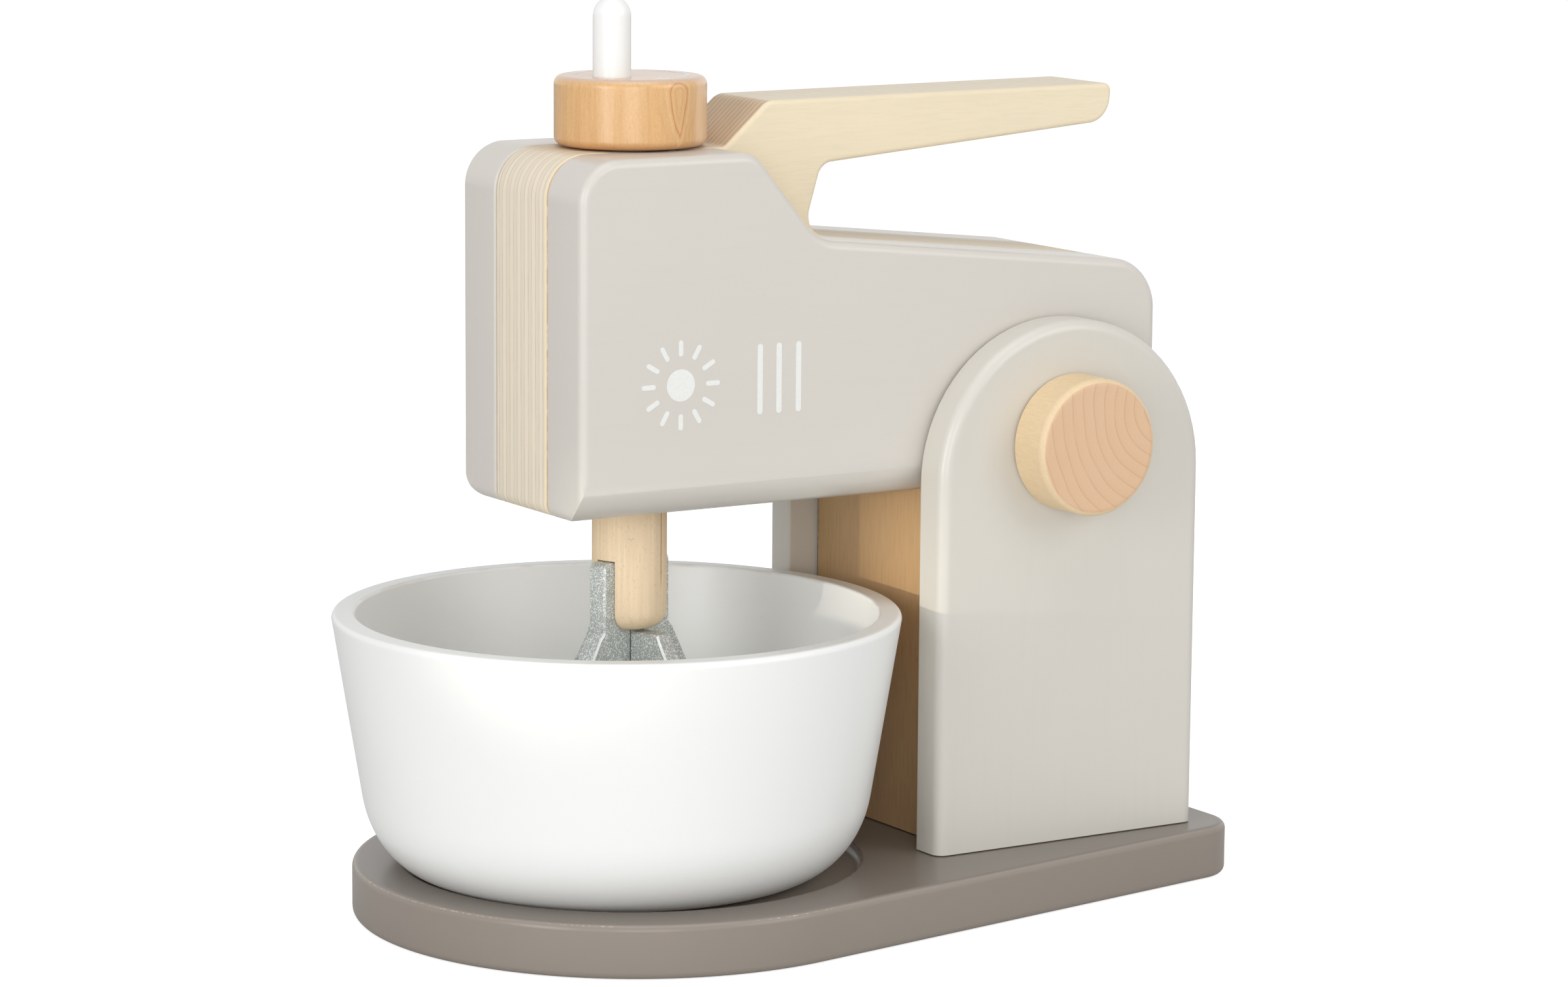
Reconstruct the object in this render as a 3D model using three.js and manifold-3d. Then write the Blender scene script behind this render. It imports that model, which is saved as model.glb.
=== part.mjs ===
// A child's wooden stand mixer: a base with a bowl, two posts, and an arm that tilts up on a dowel.
// Millimetres, +Z up. The arm points along -X, and the near side, which carries the print, is -Y.
// The origin is on the base's underside, at the centre of its round front.
import * as THREE from 'three';
import { mergeVertices } from 'three/addons/utils/BufferGeometryUtils.js';
import Module from 'manifold-3d';

const wasm = await Module();
wasm.setup();

// Gaps that hold everywhere
const seatGap = 0.3;            // between pieces that are glued, screwed or laid on each other
const runningGap = 0.45;        // between pieces that turn or swing past each other
const cutOverrun = 4;           // how far a cutter stands out of what it cuts

// Base board; its round front is centred on the origin
const baseMargin = 0.6;         // how far the round front stands out past the bowl's rim
const baseSideMargin = 8.4;     // from a post's outer face to the base's side at the back
const baseTailLength = 11.8;    // from the posts' back edge to the base's back edge
const baseCornerRadius = 13.4;
const baseThickness = 14.5;
const baseEdge = 2;
const recessCentreX = -1.8;
const recessPlay = 0.4;         // room left where the bowl comes nearest to the recess's wall
const recessDepth = 3;
const recessFillet = 2.4;

// Bowl
const bowlShift = 4.5;          // how far forward of the recess's centre the bowl stands
const bowlRimRadius = 75.8;
const bowlHeight = 70.6;
const bowlWall = 6.3;
const bowlDraft = 9;            // degrees that the wall leans outwards
const bowlCornerWide = 20.9;    // the round between wall and bottom is an ellipse
const bowlCornerHigh = 26.4;
const bowlRimEdge = 2.2;

// Posts and the block between them
const postHalfWidth = 42.5;
const postRise = 32.9;          // from the pivot's axis to the posts' round tops
const postThickness = 10.9;
const postEdge = 3;
const hiddenEdge = 0.8;         // small round on edges that face another board
const blockSetback = 7.5;       // from the bowl's rim to the block's front face
const blockRecess = 9.1;        // how far the block stays behind the posts' front and back edges
const blockTailRoom = 2.7;      // below the arm's tail when the arm is swung up

// Pivot
const pivotShift = 1.4;         // how far forward of the posts' middle the axis lies
const pivotHeight = 13.3;       // above the arm's underside
const pivotPinRadius = 8;
const pivotKnobRadius = 18.6;
const pivotKnobDepth = 13.4;
const pivotKnobChamfer = 2;
const pivotKnobFace = 5.4;      // wood left between the pin's end and a knob's face
const tiltStop = 80;            // degrees that the arm swings up before it meets its stop

// Arm: a plywood core with the handle, between two painted cheeks
const armRoom = 29;             // from the bowl's rim up to the arm's underside
const armHeight = 94.1;         // of its head
const armNoseLength = 32.9;     // from the crank's axis to the front
const armTailLength = 36.5;     // from the pivot's axis to the back
const armNeckLength = 19.6;     // of the slope between the head's top and the neck
const armNeckDrop = 23.8;       // below the head's top
const armTailDrop = 35.3;
const armFrontCorner = 11.5;
const armChinCorner = 3.4;      // its lower front corner is almost sharp
const armShoulderCorner = 7;
const armNeckCorner = 12;
const armTailCorner = 14;
const armEdge = 3;
const armKeelRound = 11;        // along the cheeks' lower outer edges
const cheekThickness = 18.1;
const coreWall = 3.25;          // plywood left beside the drive dowel's hole
const coreEdge = 1.3;

// Handle, in one piece with the core
const handleStep = 1.5;         // from the cheeks' shoulder back to the handle's foot
const handleSlopeLength = 13.2;
const handleRise = 11.7;        // of its front above the head's top
const handleEndRise = 12.4;     // of its back end
const handleWebLength = 11.5;   // from the top of its slope to the foot of the web's back
const handleWebLean = 5.6;      // how far the web's back leans backwards on its way up
const handlePalmDrop = 17.4;    // from its top down to the underside at the web
const handleEndHeight = 10.3;
const handleEndInset = 2.7;     // from the arm's back edge
const handleEndLean = 1.2;
const handleFootCorner = 2;
const handleFrontCorner = 5;
const handleEndCorner = 2.3;
const handleEndLowCorner = 6.8;
const handlePalmCorner = 4.5;
const handleWebCorner = 6;

// Crank: knob, peg and drive dowel, which turn together
const crankShift = 3.7;         // how far behind the bowl's middle the crank's axis lies
const crankTurn = 20;           // degrees from the arm's line to the beater's first blade at rest
const knobRadius = 20.1;
const knobHeight = 18.3;
const knobEdge = 2.2;
const knobRoom = 0.8;           // between the knob and the handle's foot
const knobWeb = 1.3;            // wood left between the knob's two sockets
const pegRadius = 5;
const pegInset = 3.5;           // from the peg to the edge of the knob's flat top
const pegAngle = 9;             // degrees from the first blade round to the peg
const pegRise = 21;             // above the knob's top
const pegSocketDepth = 5;
const dowelRadius = 10;
const dowelReach = 34;          // below the arm's underside
const dowelTipRound = 5;
const slotDepth = 18.9;         // of the slot that the beater's blade is pushed into

// Beater: two crossed blades, each with a window
const bladeThickness = 5.6;
const bladeEdge = 0.7;
const bladeNeckProud = 3.4;     // how far the first blade stands out of the dowel on each side
const bladeNeckCorner = 1.8;
const bladeCrossProud = 2;      // how far the second blade's shoulder stands out past the dowel
const bladeShoulderGap = 0.8;   // from the dowel's end down to where both blades flare out
const bladeHalfWidth = 27;
const bladeWidestHeight = 17;   // above the beater's lower end
const bladeRib = 6.5;
const windowDrop = 12.6;        // from the flare's top to the window's
const beaterRoom = 9.9;         // between the beater and the bowl's floor
const beaterPinRadius = 1.5;
const beaterPinInset = 1.5;     // how far the pin's ends lie inside the dowel

// Hidden fasteners
const dowelPegRadius = 4;       // glued dowel pins in the arm and in the block
const armPegDepth = 11;         // how far a pin enters each cheek
const postPegDepth = 6;         // how far a pin enters each post
const screwHeadRadius = 4;
const screwHeadHeight = 2.6;
const screwShankRadius = 1.9;
const screwBite = 19.5;         // how much longer a screw is than the base is thick
const screwTipLength = 5;
const screwSink = 0.6;          // how deep the head lies below the underside
const screwSlotInset = 1.8;     // from the head's rim to the ends of its cross
const screwSlotWidth = 0.9;
const screwSlotDepth = 1.3;

// How finely curves are cut: a chord may stay this far inside its arc, within two limits of angle
const chordError = 0.09;
const finestStep = THREE.MathUtils.degToRad(8);
const coarsestStep = THREE.MathUtils.degToRad(30);
const roundSegments = 36;
const wideSegments = 48;
const smallSegments = 16;
const edgeSegments = 2;
const flareSegments = 6;
const halfTurn = Math.PI;
const quarterTurn = Math.PI / 2;

// Bowl and its recess: the recess clears the bowl's round foot at the base's top face
const recessFloorZ = baseThickness - recessDepth;
const bowlCentreX = recessCentreX - bowlShift;
const bowlBottomZ = recessFloorZ + seatGap;
const bowlSlope = Math.tan(THREE.MathUtils.degToRad(bowlDraft));
const bowlFootRadius = bowlRimRadius - bowlSlope * (bowlHeight - bowlCornerHigh) - bowlCornerWide;
const bowlSeatShare = 1 - (recessDepth - seatGap) / bowlCornerHigh;
const bowlSeatRadius = bowlFootRadius + bowlCornerWide * Math.sqrt(1 - bowlSeatShare ** 2);
const recessRadius = bowlSeatRadius + bowlShift + recessPlay;
const bowlTopZ = bowlBottomZ + bowlHeight;

// Across: core, cheeks, posts, base
const dowelHoleRadius = dowelRadius + runningGap;
const coreHalfWidth = dowelHoleRadius + coreWall;
const cheekInnerY = coreHalfWidth + seatGap;
const armHalfWidth = cheekInnerY + cheekThickness;
const postInnerY = armHalfWidth + runningGap * 2;
const postOuterY = postInnerY + postThickness;
const baseFrontRadius = bowlRimRadius + baseMargin;
const baseBackHalfWidth = postOuterY + baseSideMargin;

// Along: block, posts, pivot, crank, arm, handle
const blockFrontX = bowlCentreX + bowlRimRadius + blockSetback;
const postCentreX = blockFrontX - blockRecess + postHalfWidth;
const blockBackX = postCentreX + postHalfWidth - blockRecess;
const baseBackX = postCentreX + postHalfWidth + baseTailLength;
const pivotX = postCentreX - pivotShift;
const crankX = bowlCentreX + crankShift;
const armFrontX = crankX - armNoseLength;
const armBackX = pivotX + armTailLength;
const handleFootX = crankX + knobRadius + knobRoom;
const handleFrontX = handleFootX + handleSlopeLength;
const handleWebX = handleFrontX + handleWebLength;
const handleEndX = armBackX - handleEndInset;
const handleEndLowX = handleEndX - handleEndLean;
const armShoulderX = handleFootX - handleStep;
const armNeckX = armShoulderX + armNeckLength;

// Up: arm, handle, posts, block
const armBottomZ = bowlTopZ + armRoom;
const armTopZ = armBottomZ + armHeight;
const armNeckZ = armTopZ - armNeckDrop;
const armTailZ = armTopZ - armTailDrop;
const handleTopZ = armTopZ + handleRise;
const handleEndTopZ = armTopZ + handleEndRise;
const handleEndLowZ = handleEndTopZ - handleEndHeight;
const handleWebTopZ = handleTopZ - handlePalmDrop;
const pivotZ = armBottomZ + pivotHeight;
const postBottomZ = baseThickness + seatGap;
const postTopZ = pivotZ + postRise;
const blockTopZ = armBottomZ - runningGap;
const blockLowerZ = pivotZ - armTailLength - blockTailRoom;
const screwLength = baseThickness + screwBite;

// Crank and beater
const knobBottomZ = armTopZ + runningGap;
const knobTopZ = knobBottomZ + knobHeight;
const knobSocketDepth = knobHeight - pegSocketDepth - knobWeb;
const pegOffset = knobRadius - knobEdge - pegInset - pegRadius;
const pegBottomZ = knobTopZ - pegSocketDepth + seatGap;
const dowelTopZ = knobBottomZ + knobSocketDepth - seatGap;
const dowelBottomZ = armBottomZ - dowelReach;
const slotTopZ = dowelBottomZ + slotDepth;
const bladeNeckHalfWidth = dowelRadius + bladeNeckProud;
const bladeCrossHalfWidth = dowelRadius + bladeCrossProud;
const bladeShoulderZ = dowelBottomZ - bladeShoulderGap;
const bladeBottomZ = bowlBottomZ + bowlWall + beaterRoom;
const bladeWidestZ = bladeBottomZ + bladeWidestHeight;
const windowTopZ = bladeShoulderZ - windowDrop;
const beaterPinZ = (dowelBottomZ + slotTopZ) / 2;
const beaterPinReach = dowelRadius - beaterPinInset;

// Side knobs
const pivotHoleRadius = pivotPinRadius + runningGap;
const pivotSocketDepth = pivotKnobDepth - pivotKnobFace;

// Closed mesh to solid and back; only positions matter to the solid
function toSolid(geometry) {
  const bare = geometry.clone();
  bare.deleteAttribute('normal');
  bare.deleteAttribute('uv');
  const merged = mergeVertices(bare);
  return new wasm.Manifold(new wasm.Mesh({
    numProp: 3,
    vertProperties: new Float32Array(merged.attributes.position.array),
    triVerts: new Uint32Array(merged.index.array),
  }));
}

function toGeometry(body) {
  const mesh = body.getMesh();
  const geometry = new THREE.BufferGeometry();
  geometry.setAttribute('position', new THREE.BufferAttribute(mesh.vertProperties, 3));
  geometry.setIndex(new THREE.BufferAttribute(mesh.triVerts, 1));
  geometry.computeVertexNormals();
  return geometry;
}

function join(first, ...others) {
  return toGeometry(others.reduce((sum, other) => sum.add(toSolid(other)), toSolid(first)));
}

function cut(first, ...cutters) {
  return toGeometry(cutters.reduce((rest, cutter) => rest.subtract(toSolid(cutter)), toSolid(first)));
}

// Points of a quarter round or any other arc, centre and radii given, angles in radians
function arc(centreX, centreY, radiusX, radiusY, start, end) {
  const bend = 2 * Math.acos(Math.max(0, 1 - chordError / Math.max(radiusX, radiusY)));
  const step = THREE.MathUtils.clamp(bend, finestStep, coarsestStep);
  const steps = Math.max(1, Math.ceil(Math.abs(end - start) / step));
  return Array.from({ length: steps + 1 }, (_, i) => {
    const angle = start + (end - start) * i / steps;
    return new THREE.Vector2(centreX + radiusX * Math.cos(angle), centreY + radiusY * Math.sin(angle));
  });
}

// A closed outline from corners [x, y, radius], with every corner rounded by its own radius
function roundedShape(corners) {
  const points = corners.flatMap(([x, y, radius], i) => {
    const corner = new THREE.Vector2(x, y);
    const towards = (other) => new THREE.Vector2(other[0], other[1]).sub(corner).normalize();
    const back = towards(corners.at(i - 1));
    const on = towards(corners[(i + 1) % corners.length]);
    const half = Math.acos(THREE.MathUtils.clamp(back.dot(on), -1, 1)) / 2;
    const centre = back.clone().add(on).normalize().multiplyScalar(radius / Math.sin(half)).add(corner);
    const start = back.clone().multiplyScalar(radius / Math.tan(half)).add(corner).sub(centre).angle();
    const turn = (halfTurn - 2 * half) * (back.cross(on) > 0 ? -1 : 1);
    return arc(centre.x, centre.y, radius, radius, start, start + turn);
  });
  return new THREE.Shape(points);
}

// A board of the given outline with rounded edges, its thickness along local Z from zero up
function board(shape, thickness, edge) {
  const geometry = new THREE.ExtrudeGeometry(shape, {
    depth: thickness - 2 * edge,
    bevelThickness: edge,
    bevelSize: edge,
    bevelOffset: -edge,
    bevelSegments: edgeSegments,
  });
  return geometry.translate(0, 0, edge);
}

// A board with one soft outer edge and one crisp inner edge; side is 1 for near (-Y), -1 for far
function sideBoard(shape, innerY, outerY, outerEdge, side) {
  const thickness = outerY - innerY;
  const whole = board(shape, thickness, outerEdge).translate(0, 0, side > 0 ? innerY : -outerY);
  const lining = board(shape, thickness / 2, hiddenEdge);
  lining.translate(0, 0, side > 0 ? innerY : -innerY - thickness / 2);
  return join(whole, lining).rotateX(quarterTurn);
}

// A cylinder along Z, from one height to another
function rod(radius, bottom, top, segments = roundSegments) {
  const geometry = new THREE.CylinderGeometry(radius, radius, top - bottom, segments);
  return geometry.rotateX(quarterTurn).translate(0, 0, (bottom + top) / 2);
}

// A cylinder along Y through x, z, with the given half length
function crossRod(radius, x, z, halfLength, segments = roundSegments) {
  return rod(radius, -halfLength, halfLength, segments).rotateX(quarterTurn).translate(x, 0, z);
}

// A turned piece from a profile of [radius, height] points, its axis upright
function turned(profile, segments = roundSegments) {
  const points = profile.map((point) => (point.isVector2 ? point : new THREE.Vector2(...point)));
  return new THREE.LatheGeometry(points, segments).rotateX(quarterTurn);
}

// Colour, roughness and metalness of each finish
const finish = (color, roughness, metalness = 0) => (
  new THREE.MeshStandardMaterial({ color, roughness, metalness, flatShading: true }));
const materials = {
  greyPaint: finish(0xd5cfc8, 0.55),
  taupePaint: finish(0x8f857b, 0.55),
  plywood: finish(0xf0dcb8, 0.6),
  beech: finish(0xe6bf90, 0.5),
  maple: finish(0xe8c9a4, 0.5),
  whitePaint: finish(0xf0f2f0, 0.35),
  silverPlastic: finish(0xa6adad, 0.4, 0.6),
  steel: finish(0xb9bcc0, 0.3, 1),
};

function piece(name, geometry, material) {
  const mesh = new THREE.Mesh(geometry, material);
  mesh.name = name;
  return mesh;
}

// Places of the fasteners
const screwPlaces = [-1, 0, 1].flatMap((side) => [-1, 1].map((end) => ({
  x: postCentreX + end * postHalfWidth / 2,
  y: side * (postInnerY + postOuterY) / 2,
})));
const postPegPlaces = [-1, 1].map((end) => ({
  x: postCentreX + end * (blockBackX - blockFrontX) / 4,
  z: (screwSink + screwLength + blockLowerZ) / 2 + end * dowelPegRadius,
}));
const armPegPlaces = [
  { x: (armFrontX + crankX - dowelHoleRadius) / 2, z: armBottomZ + (armTopZ - armBottomZ) / 3 },
  { x: armNeckX, z: (armBottomZ + armNeckZ) / 2 },
  { x: (pivotX + armBackX) / 2, z: (pivotZ + armTailZ) / 2 + dowelPegRadius },
];

// Base board: round in front, narrower and straight at the back, with a shallow round recess
function makeBase() {
  const cornerX = baseBackX - baseCornerRadius;
  const cornerY = baseBackHalfWidth - baseCornerRadius;
  const span = Math.hypot(cornerX, cornerY);
  const taper = Math.asin((baseFrontRadius - baseCornerRadius) / span) - Math.atan2(cornerY, cornerX);
  const front = arc(0, 0, baseFrontRadius, baseFrontRadius, quarterTurn - taper, 3 * quarterTurn + taper);
  const corner = (side, start, end) => (
    arc(cornerX, side * cornerY, baseCornerRadius, baseCornerRadius, start, end));
  const back = [...corner(-1, taper - quarterTurn, 0), ...corner(1, 0, quarterTurn - taper)];
  const plank = board(new THREE.Shape([...front, ...back]), baseThickness, baseEdge);
  const filletX = recessRadius - recessFillet;
  const recess = turned([
    [0, recessFloorZ],
    ...arc(filletX, recessFloorZ + recessFillet, recessFillet, recessFillet, -quarterTurn, 0),
    [recessRadius, baseThickness + cutOverrun],
    [0, baseThickness + cutOverrun],
  ], wideSegments).translate(recessCentreX, 0, 0);
  const holes = screwPlaces.map(({ x, y }) => screwHole().translate(x, y, 0));
  return cut(plank, recess, ...holes);
}

// A countersunk hole for a screw that comes up from below
function screwHole() {
  const headRadius = screwHeadRadius + seatGap;
  const shankRadius = screwShankRadius + seatGap;
  return turned([
    [0, -cutOverrun],
    [headRadius, -cutOverrun],
    [headRadius, screwSink + seatGap],
    [shankRadius, screwSink + screwHeadHeight + seatGap],
    [shankRadius, screwSink + screwLength + seatGap],
    [0, screwSink + screwLength + seatGap],
  ], smallSegments);
}

// Wood screw with a flat head and a cross recess
function makeScrew() {
  const shape = turned([
    [0, screwSink],
    [screwHeadRadius, screwSink],
    [screwShankRadius, screwSink + screwHeadHeight],
    [screwShankRadius, screwSink + screwLength - screwTipLength],
    [0, screwSink + screwLength],
  ], smallSegments);
  const slotLength = 2 * (screwHeadRadius - screwSlotInset);
  const bar = () => new THREE.BoxGeometry(slotLength, screwSlotWidth, 2 * screwSlotDepth)
    .translate(0, 0, screwSink);
  return cut(shape, bar(), bar().rotateZ(quarterTurn));
}

// Bowl: leaning wall, elliptic lower corner, rounded rim, even wall thickness
function makeBowl() {
  const radiusAt = (height) => bowlRimRadius - bowlSlope * (bowlHeight - height);
  const shell = (inset, bottom) => {
    const wide = bowlCornerWide - inset / 2;
    const high = bowlCornerHigh - inset / 2;
    return arc(radiusAt(bottom + high) - inset - wide, bottom + high, wide, high, -quarterTurn, 0);
  };
  const rimMiddle = bowlRimRadius - bowlWall / 2;
  const rim = arc(rimMiddle, bowlHeight - bowlRimEdge, bowlWall / 2, bowlRimEdge, 0, halfTurn);
  return turned([
    [0, 0],
    ...shell(0, 0),
    ...rim,
    ...shell(bowlWall, bowlWall).reverse(),
    [0, bowlWall],
  ], wideSegments);
}

// Post: a board with a half-round top, drilled for the pivot pin
function makePost(side) {
  const arcCentreZ = postTopZ - postHalfWidth;
  const shape = new THREE.Shape([
    ...arc(postCentreX, arcCentreZ, postHalfWidth, postHalfWidth, 0, halfTurn),
    new THREE.Vector2(postCentreX - postHalfWidth, postBottomZ),
    new THREE.Vector2(postCentreX + postHalfWidth, postBottomZ),
  ]);
  const holes = screwPlaces.map(({ x, y }) => screwHole().translate(x, y, 0));
  const pegReach = postInnerY + postPegDepth + seatGap;
  const pegs = postPegPlaces.map(({ x, z }) => (
    crossRod(dowelPegRadius + seatGap, x, z, pegReach, smallSegments)));
  const pivot = crossRod(pivotHoleRadius, pivotX, pivotZ, postOuterY + cutOverrun);
  return cut(sideBoard(shape, postInnerY, postOuterY, postEdge, side), pivot, ...pegs, ...holes);
}

// Block between the posts: a ledge for the arm, then a slope that stops the arm's swing
function makeBlock() {
  const stop = THREE.MathUtils.degToRad(tiltStop);
  const reach = pivotZ - blockTopZ;
  const slopeX = (z) => pivotX - (reach - (pivotZ - z) * Math.cos(stop)) / Math.sin(stop);
  const shape = new THREE.Shape([
    new THREE.Vector2(blockFrontX, postBottomZ),
    new THREE.Vector2(blockBackX, postBottomZ),
    new THREE.Vector2(blockBackX, blockLowerZ),
    new THREE.Vector2(slopeX(blockLowerZ), blockLowerZ),
    new THREE.Vector2(slopeX(blockTopZ), blockTopZ),
    new THREE.Vector2(blockFrontX, blockTopZ),
  ]);
  const halfWidth = postInnerY - seatGap;
  const block = board(shape, 2 * halfWidth, hiddenEdge).translate(0, 0, -halfWidth).rotateX(quarterTurn);
  const holes = screwPlaces.map(({ x, y }) => screwHole().translate(x, y, 0));
  const pegs = postPegPlaces.map(({ x, z }) => (
    crossRod(dowelPegRadius + seatGap, x, z, halfWidth + cutOverrun, smallSegments)));
  return cut(block, ...pegs, ...holes);
}

// The arm's common outline behind the handle, from the neck round the tail to the front
const armTail = [
  [armBackX, armTailZ, armTailCorner],
  [armBackX, armBottomZ, armTailCorner],
  [armFrontX, armBottomZ, armChinCorner],
  [armFrontX, armTopZ, armFrontCorner],
].reverse();

function armCutters() {
  const pegReach = cheekInnerY + armPegDepth + seatGap;
  return [
    crossRod(pivotHoleRadius, pivotX, pivotZ, armHalfWidth + cutOverrun),
    ...armPegPlaces.map(({ x, z }) => (
      crossRod(dowelPegRadius + seatGap, x, z, pegReach, smallSegments))),
  ];
}

// What a cheek loses along its lower outer edge: a square corner less a quarter round
function keelCutter(side) {
  const middleY = armHalfWidth - armKeelRound;
  const middleZ = armBottomZ + armKeelRound;
  const section = [
    ...arc(middleY, middleZ, armKeelRound, armKeelRound, 0, -quarterTurn),
    new THREE.Vector2(middleY, armBottomZ - cutOverrun),
    new THREE.Vector2(armHalfWidth + cutOverrun, armBottomZ - cutOverrun),
    new THREE.Vector2(armHalfWidth + cutOverrun, middleZ),
  ].map(({ x, y }) => new THREE.Vector2(-side * x, y));
  const cutter = new THREE.ExtrudeGeometry(new THREE.Shape(section), {
    depth: armBackX - armFrontX + 2 * cutOverrun,
    bevelEnabled: false,
  });
  return cutter.rotateX(quarterTurn).rotateZ(quarterTurn).translate(armFrontX - cutOverrun, 0, 0);
}

function makeCheek(side) {
  const shape = roundedShape([
    ...armTail,
    [armNeckX, armNeckZ, armNeckCorner],
    [armShoulderX, armTopZ, armShoulderCorner],
  ]);
  const whole = sideBoard(shape, cheekInnerY, armHalfWidth, armEdge, side);
  return cut(whole, keelCutter(side), ...armCutters());
}

// Plywood core in one piece with the handle
function makeCore() {
  const neckSlope = (armTailZ - armNeckZ) / (armBackX - armNeckX);
  const shape = roundedShape([
    ...armTail,
    [handleWebX, armNeckZ + neckSlope * (handleWebX - armNeckX), handleWebCorner],
    [handleWebX + handleWebLean, handleWebTopZ, handlePalmCorner],
    [handleEndLowX, handleEndLowZ, handleEndLowCorner],
    [handleEndX, handleEndTopZ, handleEndCorner],
    [handleFrontX, handleTopZ, handleFrontCorner],
    [handleFootX, armTopZ, handleFootCorner],
  ]);
  const core = board(shape, 2 * coreHalfWidth, coreEdge)
    .translate(0, 0, -coreHalfWidth).rotateX(quarterTurn);
  const shaft = rod(dowelHoleRadius, armBottomZ - cutOverrun, armTopZ + cutOverrun)
    .translate(crankX, 0, 0);
  return cut(core, shaft, ...armCutters());
}

// Crank knob, turned, with a blind socket below for the dowel and one above for the peg
function makeKnob() {
  const knob = turned([
    [0, knobBottomZ],
    ...arc(knobRadius - knobEdge, knobBottomZ + knobEdge, knobEdge, knobEdge, -quarterTurn, 0),
    ...arc(knobRadius - knobEdge, knobTopZ - knobEdge, knobEdge, knobEdge, 0, quarterTurn),
    [0, knobTopZ],
  ]);
  const dowelSocket = rod(dowelRadius + seatGap, knobBottomZ - cutOverrun, knobBottomZ + knobSocketDepth);
  return cut(knob, dowelSocket, pegSocket());
}

function atPeg(geometry) {
  return geometry.translate(pegOffset, 0, 0).rotateZ(THREE.MathUtils.degToRad(pegAngle));
}

function pegSocket() {
  return atPeg(rod(pegRadius + seatGap, pegBottomZ - seatGap, knobTopZ + cutOverrun, smallSegments));
}

// Peg with a round end
function makePeg() {
  return atPeg(turned([
    [0, pegBottomZ],
    [pegRadius, pegBottomZ],
    ...arc(0, knobTopZ + pegRise - pegRadius, pegRadius, pegRadius, 0, quarterTurn),
  ], smallSegments));
}

// Drive dowel: round end with a slot across it for the beater's first blade
function makeDowel() {
  const roundX = dowelRadius - dowelTipRound;
  const roundZ = dowelBottomZ + dowelTipRound;
  const dowel = turned([
    [0, dowelBottomZ],
    ...arc(roundX, roundZ, dowelTipRound, dowelTipRound, -quarterTurn, 0),
    [dowelRadius, dowelTopZ],
    [0, dowelTopZ],
  ]);
  const slotHeight = slotTopZ - dowelBottomZ + cutOverrun;
  const slot = new THREE.BoxGeometry(4 * dowelRadius, bladeThickness + 2 * seatGap, slotHeight)
    .translate(0, 0, slotTopZ - slotHeight / 2);
  return cut(dowel, slot, pinHole());
}

function pinHole() {
  return crossRod(beaterPinRadius + seatGap, 0, beaterPinZ, beaterPinReach + seatGap, smallSegments);
}

function makeBeaterPin() {
  return crossRod(beaterPinRadius, 0, beaterPinZ, beaterPinReach, smallSegments);
}

// How far the flare's curve leans out near its top, and how high it stays upright above its widest place
const flareShares = { topOut: 0.45, lowUp: 0.4 };

// One side of a flared outline, from the top down to the axis: a curve, then part of an ellipse
function flare(topHalfWidth, topZ, halfWidth, widestZ, bottomZ) {
  const rise = topZ - widestZ;
  const curve = new THREE.CubicBezierCurve(
    new THREE.Vector2(topHalfWidth, topZ),
    new THREE.Vector2(topHalfWidth + (halfWidth - topHalfWidth) * flareShares.topOut, topZ - rise / 2),
    new THREE.Vector2(halfWidth, widestZ + rise * flareShares.lowUp),
    new THREE.Vector2(halfWidth, widestZ),
  );
  const lower = arc(0, widestZ, halfWidth, widestZ - bottomZ, 0, -quarterTurn);
  return [...curve.getPoints(flareSegments), ...lower.slice(1)];
}

// A blade that flares from its shoulder, below the points of the right side of its neck
function bladeShape(shoulderHalfWidth, neck) {
  const right = [
    ...neck,
    ...flare(shoulderHalfWidth, bladeShoulderZ, bladeHalfWidth, bladeWidestZ, bladeBottomZ),
  ];
  const left = right.slice(0, -1).reverse().map((point) => new THREE.Vector2(-point.x, point.y));
  const shape = new THREE.Shape([...right, ...left]);
  const innerHalf = bladeHalfWidth - bladeRib;
  const window = flare(0, windowTopZ, innerHalf, bladeWidestZ, bladeBottomZ + bladeRib);
  const mirrored = window.slice(1, -1).reverse().map((point) => new THREE.Vector2(-point.x, point.y));
  shape.holes.push(new THREE.Path([...window, ...mirrored].reverse()));
  return shape;
}

function makeBeater() {
  const blade = (shoulderHalfWidth, neck) => board(
    bladeShape(shoulderHalfWidth, neck), bladeThickness, bladeEdge,
  ).translate(0, 0, -bladeThickness / 2).rotateX(quarterTurn);
  const cornerX = bladeNeckHalfWidth - bladeNeckCorner;
  const cornerZ = slotTopZ - seatGap - bladeNeckCorner;
  const neck = arc(cornerX, cornerZ, bladeNeckCorner, bladeNeckCorner, quarterTurn, 0);
  const first = blade(bladeNeckHalfWidth, neck);
  const second = blade(bladeCrossHalfWidth, []).rotateZ(quarterTurn);
  return cut(join(first, second), pinHole());
}

// Side knob on the pivot pin: a turned disc with a chamfered face and a blind socket
function makePivotKnob() {
  const disc = turned([
    [0, 0],
    [pivotKnobRadius - pivotKnobChamfer / 4, 0],
    [pivotKnobRadius, pivotKnobChamfer / 4],
    ...arc(pivotKnobRadius - pivotKnobChamfer, pivotKnobDepth - pivotKnobChamfer,
      pivotKnobChamfer, pivotKnobChamfer, 0, quarterTurn),
    [0, pivotKnobDepth],
  ]);
  return cut(disc, rod(pivotPinRadius + seatGap, -cutOverrun, pivotSocketDepth));
}

// A glued dowel pin that lies across the toy at the given place
function glueDowel(name, place, reach) {
  const pin = piece(name, rod(dowelPegRadius, -reach, reach, smallSegments), materials.maple);
  pin.position.set(place.x, 0, place.z);
  pin.rotation.x = quarterTurn;
  return pin;
}

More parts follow.
